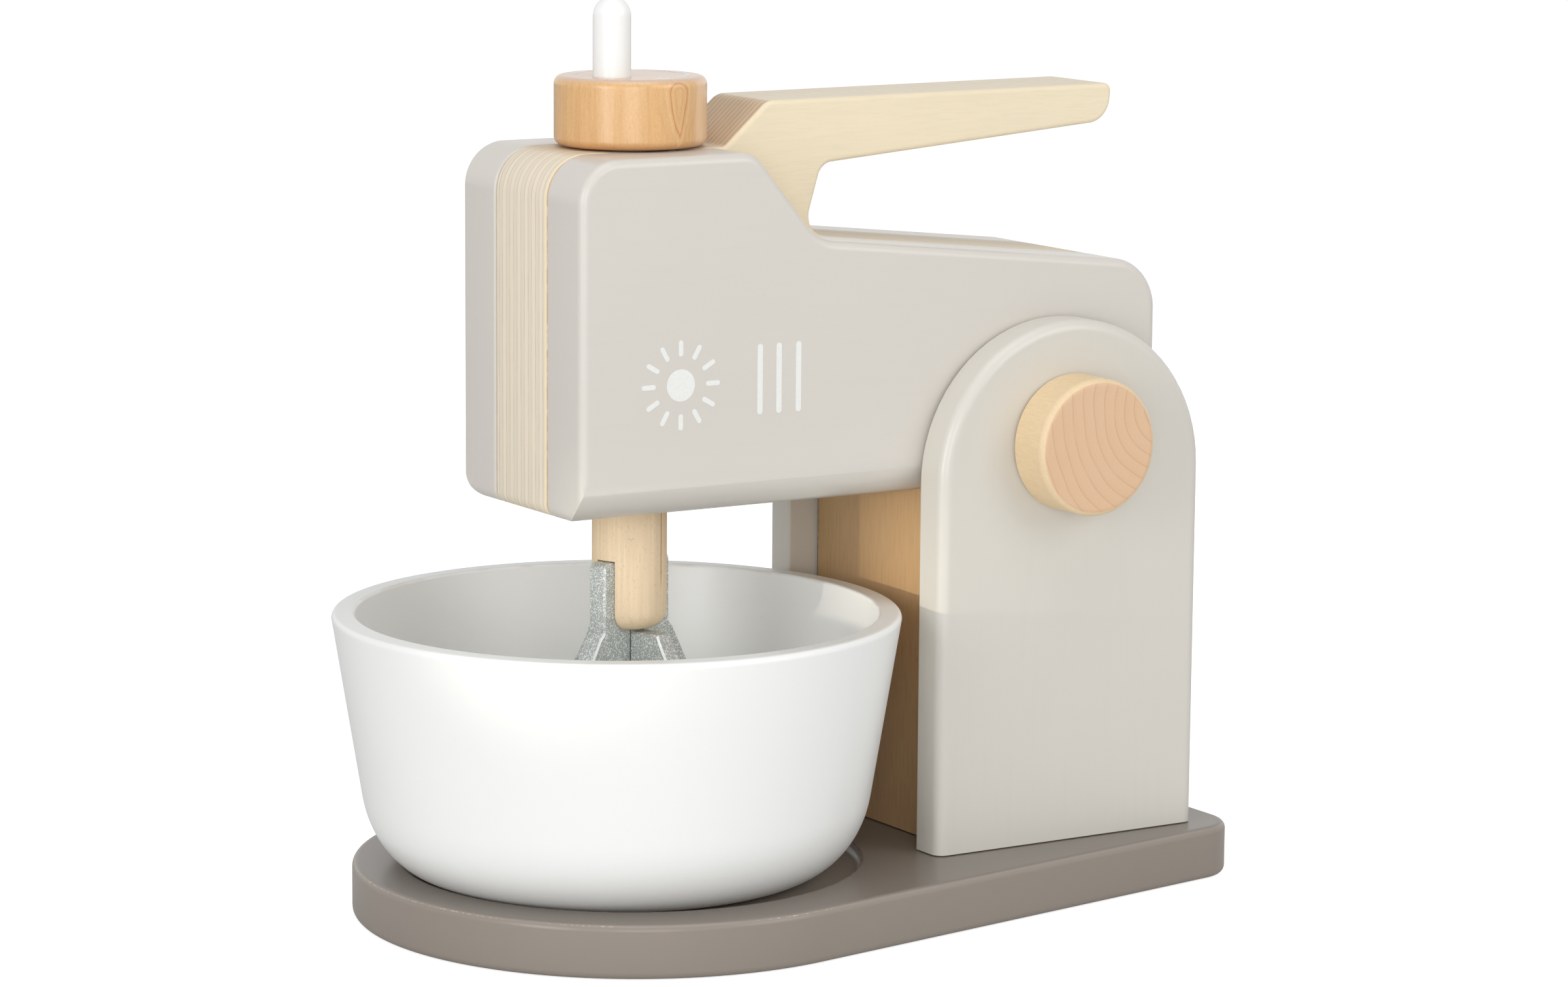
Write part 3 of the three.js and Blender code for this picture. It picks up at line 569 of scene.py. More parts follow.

# %% [markdown]
# ## Plastic, steel and ink
# The beater is silver plastic full of tiny flakes, each tilted its own way, so cells of random
# brightness stand for them. Its moulded chamfers are painted lighter as a painted highlight, which
# the mesh marks with an attribute. Dark lines of painted shade lie where the blades meet, and fine
# ridges run down their rims. The screws are steel, and the marks are printed with white ink.

# %% Silver plastic
flake_size = 0.22
crank_angle = radians(200)
blade_thickness = 5.6
look = Finish("silver_plastic", 0.4, metallic=0.25)
_, flake_light = look.cells(flake_size)
_, glitter = look.cells(flake_size / 0.75)
sparkle = look.maths(
    "MAXIMUM", look.between(flake_light, 0.6, 1.0), look.between(glitter, 0.88, 0.94))
body = look.mix(sparkle, screen(176, 182, 179), screen(250, 252, 251))
chamfer_highlight = look.node("Attribute", attribute_name="chamfer_highlight")["Fac"]
# The chamfers are painted lighter: a painted highlight
body = look.stain(body, screen(246, 248, 247), chamfer_highlight, 0.7)
# Dark lines are painted where the blades meet: painted shade in the creases
beside = look.maths("SUBTRACT", look.x, crank_x)
along_blade, through = look.turned_axes(beside, look.y, crank_angle)
crease_shade = [look.apart(look.maths("ABSOLUTE", value), blade_thickness / 2)
          for value in (along_blade, through)]
crease_shade = look.between(look.maths("MAXIMUM", *crease_shade), 0.32, 0.12)
body = look.stain(body, screen(70, 74, 74), crease_shade, 0.8)
ridges = look.maths("MULTIPLY_ADD", look.noise(0.5), 0.5, through)
ridges = look.product(look.maths("PINGPONG", ridges, 0.55),
                      look.between(look.maths("ABSOLUTE", along_blade), 14, 15))
height = look.weighted(flake_light, 0.012, look.noise(1), 0.03)
silver_plastic = look.apply(body, look.maths("MULTIPLY_ADD", ridges, 0.25, height))

# %% Steel and ink
look = Finish("screw_steel", 0.3, metallic=1.0)
scratches = look.noise((0.6, 6.0, 1.0), detail=3)
body = look.mix(scratches, screen(176, 178, 180), screen(206, 208, 210))
steel = look.apply(body, look.product(scratches, 0.01))

look = Finish("white_ink", 0.5)
body = look.mix(look.noise(1.5, detail=2), screen(232, 234, 230), screen(244, 245, 242))
white_ink = look.apply(body)

# %% [markdown]
# ## Modelling helpers
# A board is a flat face whose corners are bevelled as points, which rounds them, and whose rim is
# bevelled again after it has been pulled up to its thickness. A narrow inset inside each flat keeps
# the smooth shading of the rounded edge from creeping over the flat.

# %% Boards
edge_steps = 8
flat_margin = 0.3
level_tolerance = 0.001
meeting_distance = 0.05  # two rounds that meet share one point
overrun = 4  # how far a cutter reaches out of the piece that it cuts


def outward(bm):
    bmesh.ops.recalc_face_normals(bm, faces=bm.faces[:])


def everything(bm):
    return bm.verts[:] + bm.edges[:] + bm.faces[:]


def bevel(bm, geom, offset, steps, affect="EDGES"):
    bmesh.ops.bevel(
        bm, geom=geom, offset=offset, offset_type="OFFSET", segments=steps, profile=0.5,
        affect=affect, material=-1,
    )


def flat_face(corners, level=0):
    """A flat face, its outline given by corners (x, y, radius)."""
    bm = bmesh.new()
    verts = [bm.verts.new((x, y, level)) for x, y, radius in corners]
    bm.faces.new(verts)
    for vert, (x, y, radius) in zip(verts, corners):
        if radius:
            first, second = [edge.other_vert(vert).co - vert.co for edge in vert.link_edges]
            half = first.angle(second) / 2
            steps = max(4, round(degrees(half_turn - 2 * half) / 5))
            bevel(bm, [vert], radius / tan(half), steps, "VERTICES")
    return bm


def pulled(bm, x=0, y=0, z=0):
    """The flat faces of bm pulled out to a solid."""
    new = bmesh.ops.extrude_face_region(bm, geom=bm.faces[:])["geom"]
    verts = [item for item in new if isinstance(item, bmesh.types.BMVert)]
    bmesh.ops.translate(bm, verts=verts, vec=(x, y, z))
    outward(bm)
    return bm


def board(corners, low, high, low_edge, high_edge):
    """A board along Z from low to high, its outline given by corners (x, y, radius)."""
    bm = flat_face(corners, low)
    bmesh.ops.remove_doubles(bm, verts=bm.verts[:], dist=meeting_distance)
    pulled(bm, z=high - low)
    for level, edge in ((low, low_edge), (high, high_edge)):
        rim = [e for e in bm.edges if all(abs(v.co.z - level) < level_tolerance for v in e.verts)]
        bevel(bm, rim, edge, edge_steps)
    flats = [f for f in bm.faces if abs(f.normal.z) > 0.9999 and len(f.verts) > 4]
    bmesh.ops.inset_region(
        bm, faces=flats, thickness=flat_margin, use_even_offset=True, use_boundary=True)
    return bm


# %% [markdown]
# A turned piece is a half profile spun round, as on a lathe. Its profile is a chain of points, with
# arcs between them where the turner's gouge would round it.

# %% Turned pieces
spin_steps = 144


def arc(centre, radii, start, end, steps=12):
    """Points of an arc, or of an ellipse's if there are two radii, in the profile's plane."""
    wide, high = radii if isinstance(radii, tuple) else (radii, radii)
    turns = [start + (end - start) * i / steps for i in range(steps + 1)]
    return [(centre[0] + wide * cos(a), centre[1] + high * sin(a)) for a in turns]


def braced(profile):
    """The same profile with a point just inside both ends of every long straight run."""
    points = [profile[0]]
    for (r0, z0), (r1, z1) in zip(profile, profile[1:]):
        length = hypot(r1 - r0, z1 - z0)
        if length > 4 * flat_margin:
            share = flat_margin / length
            points += [(r0 + (r1 - r0) * s, z0 + (z1 - z0) * s) for s in (share, 1 - share)]
        points.append((r1, z1))
    return points


def turned(profile):
    bm = bmesh.new()
    verts = [bm.verts.new((radius, 0, height)) for radius, height in braced(profile)]
    edges = [bm.edges.new(pair) for pair in zip(verts, verts[1:])]
    bmesh.ops.spin(
        bm, geom=verts + edges, axis=(0, 0, 1), cent=(0, 0, 0), angle=full_turn,
        steps=spin_steps, use_merge=True,
    )
    bmesh.ops.remove_doubles(bm, verts=bm.verts[:], dist=level_tolerance)
    outward(bm)
    return bm


# %% Rods, cuboids and moves
def moved(bm, x=0, y=0, z=0):
    bmesh.ops.translate(bm, verts=bm.verts[:], vec=(x, y, z))
    return bm


def rotated(bm, angle, axis):
    matrix = Matrix.Rotation(angle, 3, axis)
    bmesh.ops.rotate(bm, verts=bm.verts[:], cent=(0, 0, 0), matrix=matrix)
    return bm


def mirrored(bm):
    """The same piece on the far side."""
    bmesh.ops.scale(bm, verts=bm.verts[:], vec=(1, -1, 1))
    bmesh.ops.reverse_faces(bm, faces=bm.faces[:])
    return bm


def rod(radius, low, high, segments=72):
    bm = bmesh.new()
    bmesh.ops.create_cone(
        bm, cap_ends=True, segments=segments, radius1=radius, radius2=radius, depth=high - low)
    return moved(bm, z=(low + high) / 2)


def cross_rod(radius, x, z, reach, segments=72):
    return moved(rotated(rod(radius, -reach, reach, segments), quarter_turn, "X"), x, 0, z)


def cuboid(*sizes):
    bm = bmesh.new()
    bmesh.ops.create_cube(bm, size=1)
    bmesh.ops.scale(bm, verts=bm.verts[:], vec=sizes)
    return bm


# %% [markdown]
# Holes and slots are cut by boolean modifiers that are evaluated at once, as a drill would. The
# finished mesh is scaled to metres, shaded smooth with sharp edges kept, and rides on its body.


# %% Cutting and finishing
def shop_object(name, bm):
    mesh = bpy.data.meshes.new(name)
    bm.to_mesh(mesh)
    bm.free()
    return placed(name, mesh)


def combined(operation, bm, tools):
    """bm with every tool cut out of it or joined to it."""
    work = shop_object("work", bm)
    helpers = [shop_object("tool", tool) for tool in tools]
    for helper in helpers:
        modifier = work.modifiers.new(operation, "BOOLEAN")
        modifier.operation = operation
        modifier.solver = "EXACT"
        modifier.object = helper
    result = bmesh.new()
    result.from_object(work, bpy.context.evaluated_depsgraph_get())
    for used in [work, *helpers]:
        bpy.data.meshes.remove(used.data)
    return result


def finished(name, bm, body, material, replaced=(), sharp=32):
    bmesh.ops.scale(bm, verts=bm.verts[:], vec=(mm, mm, mm))
    made = shop_object(name, bm)
    made.data.shade_smooth()
    made.data.set_sharp_from_angle(angle=radians(sharp))
    made.data.materials.append(material)
    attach(made, body)
    if replaced:
        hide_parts(*replaced)
    print(name, "has", len(made.data.polygons), "faces")
    return made


# %% [markdown]
# ## Base board
# The base is round in front, where the bowl stands, and narrows to a straight back. Its outline is
# one long arc and two rounded corners that the sides meet without a kink. A round cutter with a
# rounded bottom edge makes the shallow recess, and six holes are sunk from below for the screws.

# %% Base outline
base_radius = base_high.y - 0.01
base_back_half = 52.3
base_corner = 13.4
base_edge = 2
corner_x = base_high.x - base_corner
corner_y = base_back_half - base_corner
corner_reach = hypot(corner_x, corner_y)
taper = asin((base_radius - base_corner) / corner_reach) - atan2(corner_y, corner_x)
side_x = base_radius * sin(taper)
side_y = base_radius * cos(taper)
back_y = side_y - (base_high.x - side_x) * tan(taper)
front = arc((0, 0), base_radius, quarter_turn - taper, 3 * quarter_turn + taper, 96)
outline = [(x, y, 0) for x, y in front]
outline += [(base_high.x, -back_y, base_corner), (base_high.x, back_y, base_corner)]
print("The sides taper by", round(degrees(taper), 1), "degrees")

# %% Screw holes
head_radius, shank_radius = 4, 1.9
screw_sink, cone_end, taper_start, screw_end = 0.6, 3.2, 29.6, 34.6
screw_gap = 0.3
post_x, post_y, _ = middle(post_low, post_high)
post_half = (post_high.x - post_low.x) / 2
screw_places = [
    (post_x + end * post_half / 2, side * post_y) for side in (-1, 0, 1) for end in (-1, 1)]


def screw_holes():
    head, shank = head_radius + screw_gap, shank_radius + screw_gap
    profile = [
        (0, -overrun), (head, -overrun), (head, screw_sink + screw_gap),
        (shank, cone_end + screw_gap), (shank, screw_end + screw_gap), (0, screw_end + screw_gap),
    ]
    return [moved(turned(profile), x, y) for x, y in screw_places]


# %% Base board
recess_floor = base_high.z - 3
recess_fillet = 2.4
recess = turned([
    (0, recess_floor),
    *arc((recess_radius - recess_fillet, recess_floor + recess_fillet), recess_fillet,
         -quarter_turn, 0),
    (recess_radius, base_high.z + overrun), (0, base_high.z + overrun),
])
base = board(outline, base_low.z, base_high.z, base_edge, base_edge)
base = combined("DIFFERENCE", base, [moved(recess, recess_x), *screw_holes()])
base_board = finished("base_board", base, "stand", taupe_paint, ["base_plate"])

# %% Wear on the base's upper edge
worn_height = base_high.z - base_edge * (1 - sqrt(0.5))
wear = base_board.data.attributes.new("wear", "FLOAT", "POINT")
for index, vertex in enumerate(base_board.data.vertices):
    x, y, z = vertex.co / mm
    outer = hypot(x - recess_x, y) > recess_radius + 1
    wear.data[index].value = 1.0 if outer and abs(z - worn_height) < 0.1 else 0.0
print("Points on the worn line:", sum(item.value > 0 for item in wear.data))

# %% [markdown]
# ## Bowl
# The bowl is turned: a flat foot, an elliptic corner, a leaning wall and a flat rim with eased
# edges. Inside and outside are drawn by the same function, so the wall keeps its thickness.

# %% Bowl
bowl_height = bowl_high.z - bowl_low.z
bowl_slope = tan(radians(9))
bowl_corner = (20.9, 26.4)
bowl_outer_round = 1.6


def bowl_shell(inset):
    """The elliptic corner, up to where its slope is the wall's, so that no crease shows."""
    wide, high = bowl_corner[0] - inset / 2, bowl_corner[1] - inset / 2
    meeting = -atan(bowl_slope * high / wide)
    level = inset + high * (1 + sin(meeting))
    radius = bowl_radius - bowl_slope * (bowl_height - level) - inset
    centre = (radius - wide * cos(meeting), inset + high)
    return arc(centre, (wide, high), -quarter_turn, meeting, 28)


outer_centre = (bowl_radius - bowl_outer_round, bowl_height - bowl_outer_round)
outer_rim = arc(outer_centre, bowl_outer_round, 0, quarter_turn, 10)
inner_centre = (bowl_radius - bowl_wall + bowl_inner_round, bowl_height - bowl_inner_round)
inner_rim = arc(inner_centre, bowl_inner_round, quarter_turn, half_turn, 8)
bowl = turned([
    (0, 0), *bowl_shell(0), *outer_rim, *inner_rim, *reversed(bowl_shell(bowl_wall)),
    (0, bowl_wall),
])
bowl = moved(bowl, bowl_x, 0, bowl_low.z)
finished("bowl_turned", bowl, "bowl", bowl_white, ["bowl"], sharp=40)

# %% [markdown]
# ## Posts and block
# Each post is a board with a half-round top. Its outer edges are well rounded and its inner ones
# only broken. It is made too long and cut off square at its foot, as it would be on a saw. The
# block between them carries the arm on a ledge, and slopes down behind it, which stops the arm when
# it is swung up.

# %% Holes for pins and dowels
pin_hole = 8.45
glue_hole = 4.3
glue_overrun = 0.3
glue_dowels = [corners_of(f"post_dowel_{i}") for i in (1, 2)]


def dowel_holes(dowels, reach):
    places = [middle(low, high) for low, high in dowels]
    return [cross_rod(glue_hole, x, z, reach, 48) for x, _, z in places]


# %% Posts
sides = {"near": -1, "far": 1}
post_edge = 3
hidden_edge = 0.8
post_waste = 6
post_foot = post_low.z - post_waste
post_outline = [
    (post_low.x, post_foot, 0), (post_high.x, post_foot, 0),
    (post_high.x, post_high.z, post_half - 0.01), (post_low.x, post_high.z, post_half - 0.01),
]
inner_y, outer_y = -post_high.y, -post_low.y
glue_reach = glue_dowels[0][1].y + glue_overrun


def post(side):
    bm = rotated(board(post_outline, inner_y, outer_y, hidden_edge, post_edge), quarter_turn, "X")
    bmesh.ops.bisect_plane(
        bm, geom=everything(bm), plane_co=(0, 0, post_low.z), plane_no=(0, 0, 1),
        clear_inner=True,
    )
    bmesh.ops.holes_fill(bm, edges=[edge for edge in bm.edges if edge.is_boundary])
    if side > 0:
        mirrored(bm)
    outward(bm)
    pin = cross_rod(pin_hole, pivot_x, pivot_z, outer_y + overrun)
    return combined("DIFFERENCE", bm, [pin, *dowel_holes(glue_dowels, glue_reach), *screw_holes()])


for which, side in sides.items():
    finished(f"{which}_post_board", post(side), "stand", grey_upright,
             [f"{which}_post"])

# %% Block
tilt_stop = radians(80)
ledge_back_z = 85.5
stop_reach = pivot_z - block_high.z


def slope_x(z):
    return pivot_x - (stop_reach - (pivot_z - z) * cos(tilt_stop)) / sin(tilt_stop)


block_outline = [(x, z, 0) for x, z in (
    (block_low.x, block_low.z), (block_high.x, block_low.z), (block_high.x, ledge_back_z),
    (slope_x(ledge_back_z), ledge_back_z), (slope_x(block_high.z), block_high.z),
    (block_low.x, block_high.z),
)]
block = board(block_outline, block_low.y, block_high.y, hidden_edge, hidden_edge)
holes = dowel_holes(glue_dowels, block_high.y + overrun) + screw_holes()
block = combined("DIFFERENCE", rotated(block, quarter_turn, "X"), holes)
finished("spacer_plywood", block, "stand", block_ply, ["spacer_block"])

# %% [markdown]
# ## Arm
# Three layers: a plywood core with the handle sawn from the same board, and a painted cheek on each
# side. They share the arm's outline from the neck round the tail to the front, so its corners are
# written once. The lower front corner is almost sharp, and the cheeks' lower outer edges are well
# rounded.

# %% Arm outline
arm_bottom, arm_top = cheek_low.z, cheek_high.z
arm_front, arm_back = cheek_low.x, cheek_high.x
cheek_inner, cheek_outer = -cheek_high.y, -cheek_low.y
neck = (36.4, 181.7)
tail_z = 170.2
chin_corner = 3.4
tail_corners = [
    (arm_front, arm_top, 11.5), (arm_front, arm_bottom, chin_corner),
    (arm_back, arm_bottom, 14), (arm_back, tail_z, 14),
]
arm_dowels = [corners_of(f"arm_dowel_{i}") for i in (1, 2, 3)]


def arm_cutters():
    pin = cross_rod(pin_hole, pivot_x, pivot_z, cheek_outer + overrun)
    return [pin, *dowel_holes(arm_dowels, arm_dowels[0][1].y + glue_overrun)]


# %% Cheeks
cheek_edge = 2.3
keel_round = 11
shoulder_x = 16.8
cheek_outline = [*tail_corners, (*neck, 12), (shoulder_x, arm_top, 7)]


def keel_cutter(side):
    """What a cheek loses along its lower outer edge: a square corner less a quarter round."""
    middle_y, middle_z = cheek_outer - keel_round, arm_bottom + keel_round
    outer, bottom = cheek_outer + overrun, arm_bottom - overrun
    section = arc((middle_y, middle_z), keel_round, 0, -quarter_turn, 24)
    section += [(middle_y, bottom), (outer, bottom), (outer, middle_z)]
    bm = bmesh.new()
    bm.faces.new([bm.verts.new((arm_front - overrun, side * y, z)) for y, z in section])
    return pulled(bm, x=arm_back - arm_front + 2 * overrun)


def cheek(side):
    bm = board(cheek_outline, cheek_inner, cheek_outer, hidden_edge, cheek_edge)
    rotated(bm, quarter_turn, "X")
    if side > 0:
        mirrored(bm)
    bm = combined("DIFFERENCE", bm, [keel_cutter(side), *arm_cutters()])
    # A narrow strip beside the round keeps its shading off the flats
    strip = keel_round + flat_margin
    above, beside = (0, 0, arm_bottom + strip), (0, side * (cheek_outer - strip), 0)
    for place, normal in ((above, (0, 0, 1)), (beside, (0, 1, 0))):
        bmesh.ops.bisect_plane(bm, geom=everything(bm), plane_co=place, plane_no=normal)
    return bm


for which, side in sides.items():
    finished(f"{which}_cheek_board", cheek(side), "arm", grey_level,
             [f"{which}_cheek"])

# %% Core and handle
core_edge = 1.3
web_x, web_lean, web_top = 43.0, 5.6, 199.8
handle_end = [(141.6, 207.5, 6.8), (142.8, core_high.z, 2.3)]
shaft_hole = 10.45
neck_fall = (tail_z - neck[1]) / (arm_back - neck[0])
core_outline = [
    *tail_corners, (web_x, neck[1] + neck_fall * (web_x - neck[0]), 6),
    (web_x + web_lean, web_top, 4.5), *handle_end, (*slope_head, 5), (slope_foot[0], arm_top, 2),
]
core = board(core_outline, core_low.y, core_high.y, core_edge, core_edge)
shaft = moved(rod(shaft_hole, arm_bottom - overrun, arm_top + overrun), crank_x)
core = combined("DIFFERENCE", rotated(core, quarter_turn, "X"), [shaft, *arm_cutters()])
finished("core_and_handle", core, "arm", core_ply, ["arm_core"])

# %% [markdown]
# ## Crank
# Knob, peg and drive dowel are all turned. The dowel's end is slotted for the beater's first blade.

# %% Knob and peg
knob_radius = (knob_high.x - knob_low.x) / 2
knob_edge = 2.2
knob_socket = 10.3
peg_low, peg_high = corners_of("crank_peg")
peg_x, peg_y, _ = middle(peg_low, peg_high)
peg_radius = 5
peg_gap = 0.08
dowel_low, dowel_high = corners_of("drive_dowel")

edge_x = knob_radius - knob_edge
knob = turned([
    (0, knob_low.z), *arc((edge_x, knob_low.z + knob_edge), knob_edge, -quarter_turn, 0),
    *arc((edge_x, knob_high.z - knob_edge), knob_edge, 0, quarter_turn), (0, knob_high.z),
])
sockets = [
    moved(rod(knob_socket, knob_low.z - overrun, dowel_high.z + glue_overrun), crank_x),
    moved(rod(peg_radius + peg_gap, peg_low.z - glue_overrun, knob_high.z + overrun), peg_x, peg_y),
]
knob = combined("DIFFERENCE", moved(knob, crank_x), sockets)
finished("knob_turned", knob, "crank", knob_beech, ["crank_knob"])

peg = turned([
    (0, peg_low.z), (peg_radius, peg_low.z),
    *arc((0, peg_high.z - peg_radius), peg_radius, 0, quarter_turn, 20),
])
finished("peg_round", moved(peg, peg_x, peg_y), "crank", peg_white, ["crank_peg"])

# %% Drive dowel
dowel_radius = 10
tip_round = 5
pin_radius, pin_reach = 1.8, 8.8
slot_gap = 0.3
slot_top = 96.3
slot_low = dowel_low.z - overrun
pin_z = middle(*corners_of("beater_pin"))[2]
dowel = turned([
    (0, dowel_low.z),
    *arc((dowel_radius - tip_round, dowel_low.z + tip_round), tip_round, -quarter_turn, 0),
    (dowel_radius, dowel_high.z), (0, dowel_high.z),
])
slot = cuboid(4 * dowel_radius, blade_thickness + slot_gap, slot_top - slot_low)
slot = moved(slot, z=(slot_top + slot_low) / 2)
dowel = combined("DIFFERENCE", dowel, [slot, cross_rod(pin_radius, 0, pin_z, pin_reach, 32)])
dowel = moved(rotated(dowel, crank_angle, "Z"), crank_x)
finished("dowel_slotted", dowel, "crank", maple_upright, ["drive_dowel"])

# %% [markdown]
# ## Beater
# Two flared blades with a window cross at right angles. Half a blade is a strip between its outer
# line and its inner one, so the two lines are bridged, mirrored and given their thickness. The
# edges are bevelled like the mould's chamfers, and the second blade is joined in.

# %% Blade lines
beater_low, beater_high = corners_of("beater")
shoulder_z = 76.6
blade_half = 27
widest_z = 45
blade_rib = 6.5
window_top = 64
flare_steps = 14


def flare(top_half, top_z, half, bottom_z, spread=0.45):
    """From the top down to the axis: a soft S curve, then a quarter of an ellipse."""
    rise = top_z - widest_z
    controls = [
        (top_half, top_z), (top_half + (half - top_half) * spread, top_z - rise * 0.4),
        (half, widest_z + rise * 0.4), (half, widest_z),
    ]
    points = []
    for i in range(flare_steps):
        t = i / flare_steps
        weights = ((1 - t) ** 3, 3 * t * (1 - t) ** 2, 3 * t * t * (1 - t), t ** 3)
        points.append(tuple(sum(w * c[k] for w, c in zip(weights, controls)) for k in (0, 1)))
    return points + arc((0, widest_z), (half, widest_z - bottom_z), 0, -quarter_turn, 16)


# %% Blade
neck_half, cross_half = 13.4, 12
neck_step = 1.7
neck_corner = 1.8
blade_edge = 0.5


def blade(shoulder_half, top_z, step, spread):
    """A blade, with a neck if its top is above the shoulder and a small step out of the neck."""
    outer = flare(shoulder_half + step, shoulder_z - step / 2, blade_half, beater_low.z, spread)
    inner = flare(0, window_top, blade_half - blade_rib, beater_low.z + blade_rib)
    if top_z > shoulder_z:
        centre = (shoulder_half - neck_corner, top_z - neck_corner)
        top = arc(centre, neck_corner, quarter_turn, 0, 6)
        outer = [*top, (shoulder_half, shoulder_z + step / 2), *outer]
    inner = [(0, top_z), *inner]
    bm = bmesh.new()
    rails = [[bm.verts.new((x, y, 0)) for x, y in line] for line in (outer, inner)]
    edges = [bm.edges.new(pair) for rail in rails for pair in zip(rail, rail[1:])]
    bmesh.ops.bridge_loops(bm, edges=edges)
    bmesh.ops.mirror(bm, geom=everything(bm), axis="X", merge_dist=level_tolerance)
    bmesh.ops.remove_doubles(bm, verts=bm.verts[:], dist=level_tolerance)
    outward(bm)
    pulled(bm, z=blade_thickness)
    rim = [
        edge for edge in bm.edges
        if len(edge.link_faces) == 2 and edge.calc_face_angle() > radians(60)
        and abs(edge.verts[0].co.z - edge.verts[1].co.z) < level_tolerance
    ]
    bevel(bm, rim, blade_edge, 1)
    return rotated(moved(bm, z=-blade_thickness / 2), quarter_turn, "X")


# %% Beater
first_blade = blade(neck_half, beater_high.z, neck_step, 0.62)
second_blade = rotated(blade(cross_half, shoulder_z, 0, 0.32), quarter_turn, "Z")
beater = combined("UNION", first_blade, [second_blade])
beater = moved(rotated(beater, crank_angle, "Z"), crank_x)
beater_blades = finished(
    "beater_blades", beater, "crank", silver_plastic, ["beater"], sharp=25)

# %% Painted highlight on the beater's chamfers
# A chamfer is the only face that leans against both blades
blade_way = Vector((cos(crank_angle), sin(crank_angle), 0))
thick_way = Vector((-blade_way.y, blade_way.x, 0))
chamfer_highlight = beater_blades.data.attributes.new("chamfer_highlight", "FLOAT", "FACE")
for polygon in beater_blades.data.polygons:
    leaning = min(abs(polygon.normal.dot(way)) for way in (blade_way, thick_way))
    shine = 1.0 if polygon.center.z < shoulder_z * mm else 0.25
    chamfer_highlight.data[polygon.index].value = shine if leaning > 0.08 else 0.0
print("Polished faces:", sum(item.value > 0 for item in chamfer_highlight.data))

# %% [markdown]
# ## Side knobs
# One knob sits on each end of the pivot pin. They are turned discs with a rounded edge round the
# face and a finely broken one at the back.

# %% Side knobs
side_radius = (pivot_high.x - pivot_low.x) / 2
side_depth = pivot_high.y - pivot_low.y
side_round = 2
side_back_edge = 0.5
side_socket, socket_depth = 8.3, 8


def side_knob(side):
    bm = turned([
        (0, 0), (side_radius - side_back_edge, 0), (side_radius, side_back_edge),
        *arc((side_radius - side_round, side_depth - side_round), side_round, 0, quarter_turn),
        (0, side_depth),
    ])
    bm = combined("DIFFERENCE", bm, [rod(side_socket, -overrun, socket_depth)])
    rotated(bm, -side * quarter_turn, "X")
    return moved(bm, pivot_x, side * (-pivot_high.y), pivot_z)


for which, side in sides.items():
    finished(f"{which}_side_knob", side_knob(side), "pivot", side_beech,
             [f"{which}_pivot_knob"])

# %% [markdown]
# ## Screws and hidden pins
# The screws show only from below. The pins stay as the frame has them and only get their wood.

# %% Screws
screw_profile = [
    (0, screw_sink), (head_radius, screw_sink), (shank_radius, cone_end),
    (shank_radius, taper_start), (0, screw_end),
]
slot_size = (4.4, 0.9, 2.6)
for number, (x, y) in enumerate(screw_places, 1):
    slots = [moved(rotated(cuboid(*slot_size), turn, "Z"), z=screw_sink)
             for turn in (0, quarter_turn)]
    screw = moved(combined("DIFFERENCE", turned(screw_profile), slots), x, y)
    finished(f"screw_{number}", screw, "stand", steel, [f"base_screw_{number}"])

# %% Hidden pins
pins = {name: maple_across for name in (
    "pivot_pin", "post_dowel_1", "post_dowel_2", "arm_dowel_1", "arm_dowel_2", "arm_dowel_3")}
pins["beater_pin"] = steel
for name, material in pins.items():
    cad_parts[name].data.materials.clear()
    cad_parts[name].data.materials.append(material)
print("Pins with a new material:", len(pins))

# %% [markdown]
# ## Printed marks
# The near cheek carries three plain bars and a small sun, and the knob's top an arrow that shows
# which way to turn. They are a thin film of white ink on the paint, so they are very thin pieces of
# their own.

# %% Print helpers
ink_height = 0.06


def film(patches):
    """Flat patches as one film of ink."""
    whole = bmesh.new()
    for patch in patches:
        mesh = bpy.data.meshes.new("patch")
        patch.to_mesh(mesh)
        patch.free()
        whole.from_mesh(mesh)
        bpy.data.meshes.remove(mesh)
    outward(whole)
    return pulled(whole, z=ink_height)


def bar(length, width, x=0.0, y=0.0):
    half, side = length / 2, width / 2
    radius = side * 0.98
    return flat_face([
        (x - side, y - half, radius), (x + side, y - half, radius),
        (x + side, y + half, radius), (x - side, y + half, radius),
    ])


def on_cheek(bm):
    return moved(rotated(bm, quarter_turn, "X"), 0, -cheek_outer)


# %% Bars and sun on the near cheek
mark_z = 146.3
bar_length, bar_width = 18.6, 1.6
bars = film([bar(bar_length, bar_width, x, mark_z) for x in (18.15, 23.95, 29.95)])
finished("bars_print", on_cheek(bars), "arm", white_ink)

sun_x = -5.9
sun_radius, disc_radius = 11.75, 4.2
ray_length, ray_width = 4.2, 1.3
rays = 12
disc = bmesh.new()
bmesh.ops.create_circle(disc, cap_ends=True, segments=64, radius=disc_radius)
patches = [disc]
for i in range(rays):
    ray = bar(ray_length, ray_width, 0, sun_radius - ray_length / 2)
    patches.append(rotated(ray, full_turn * i / rays, "Z"))
sun = moved(film(patches), sun_x, mark_z)
finished("sun_print", on_cheek(sun), "arm", white_ink)

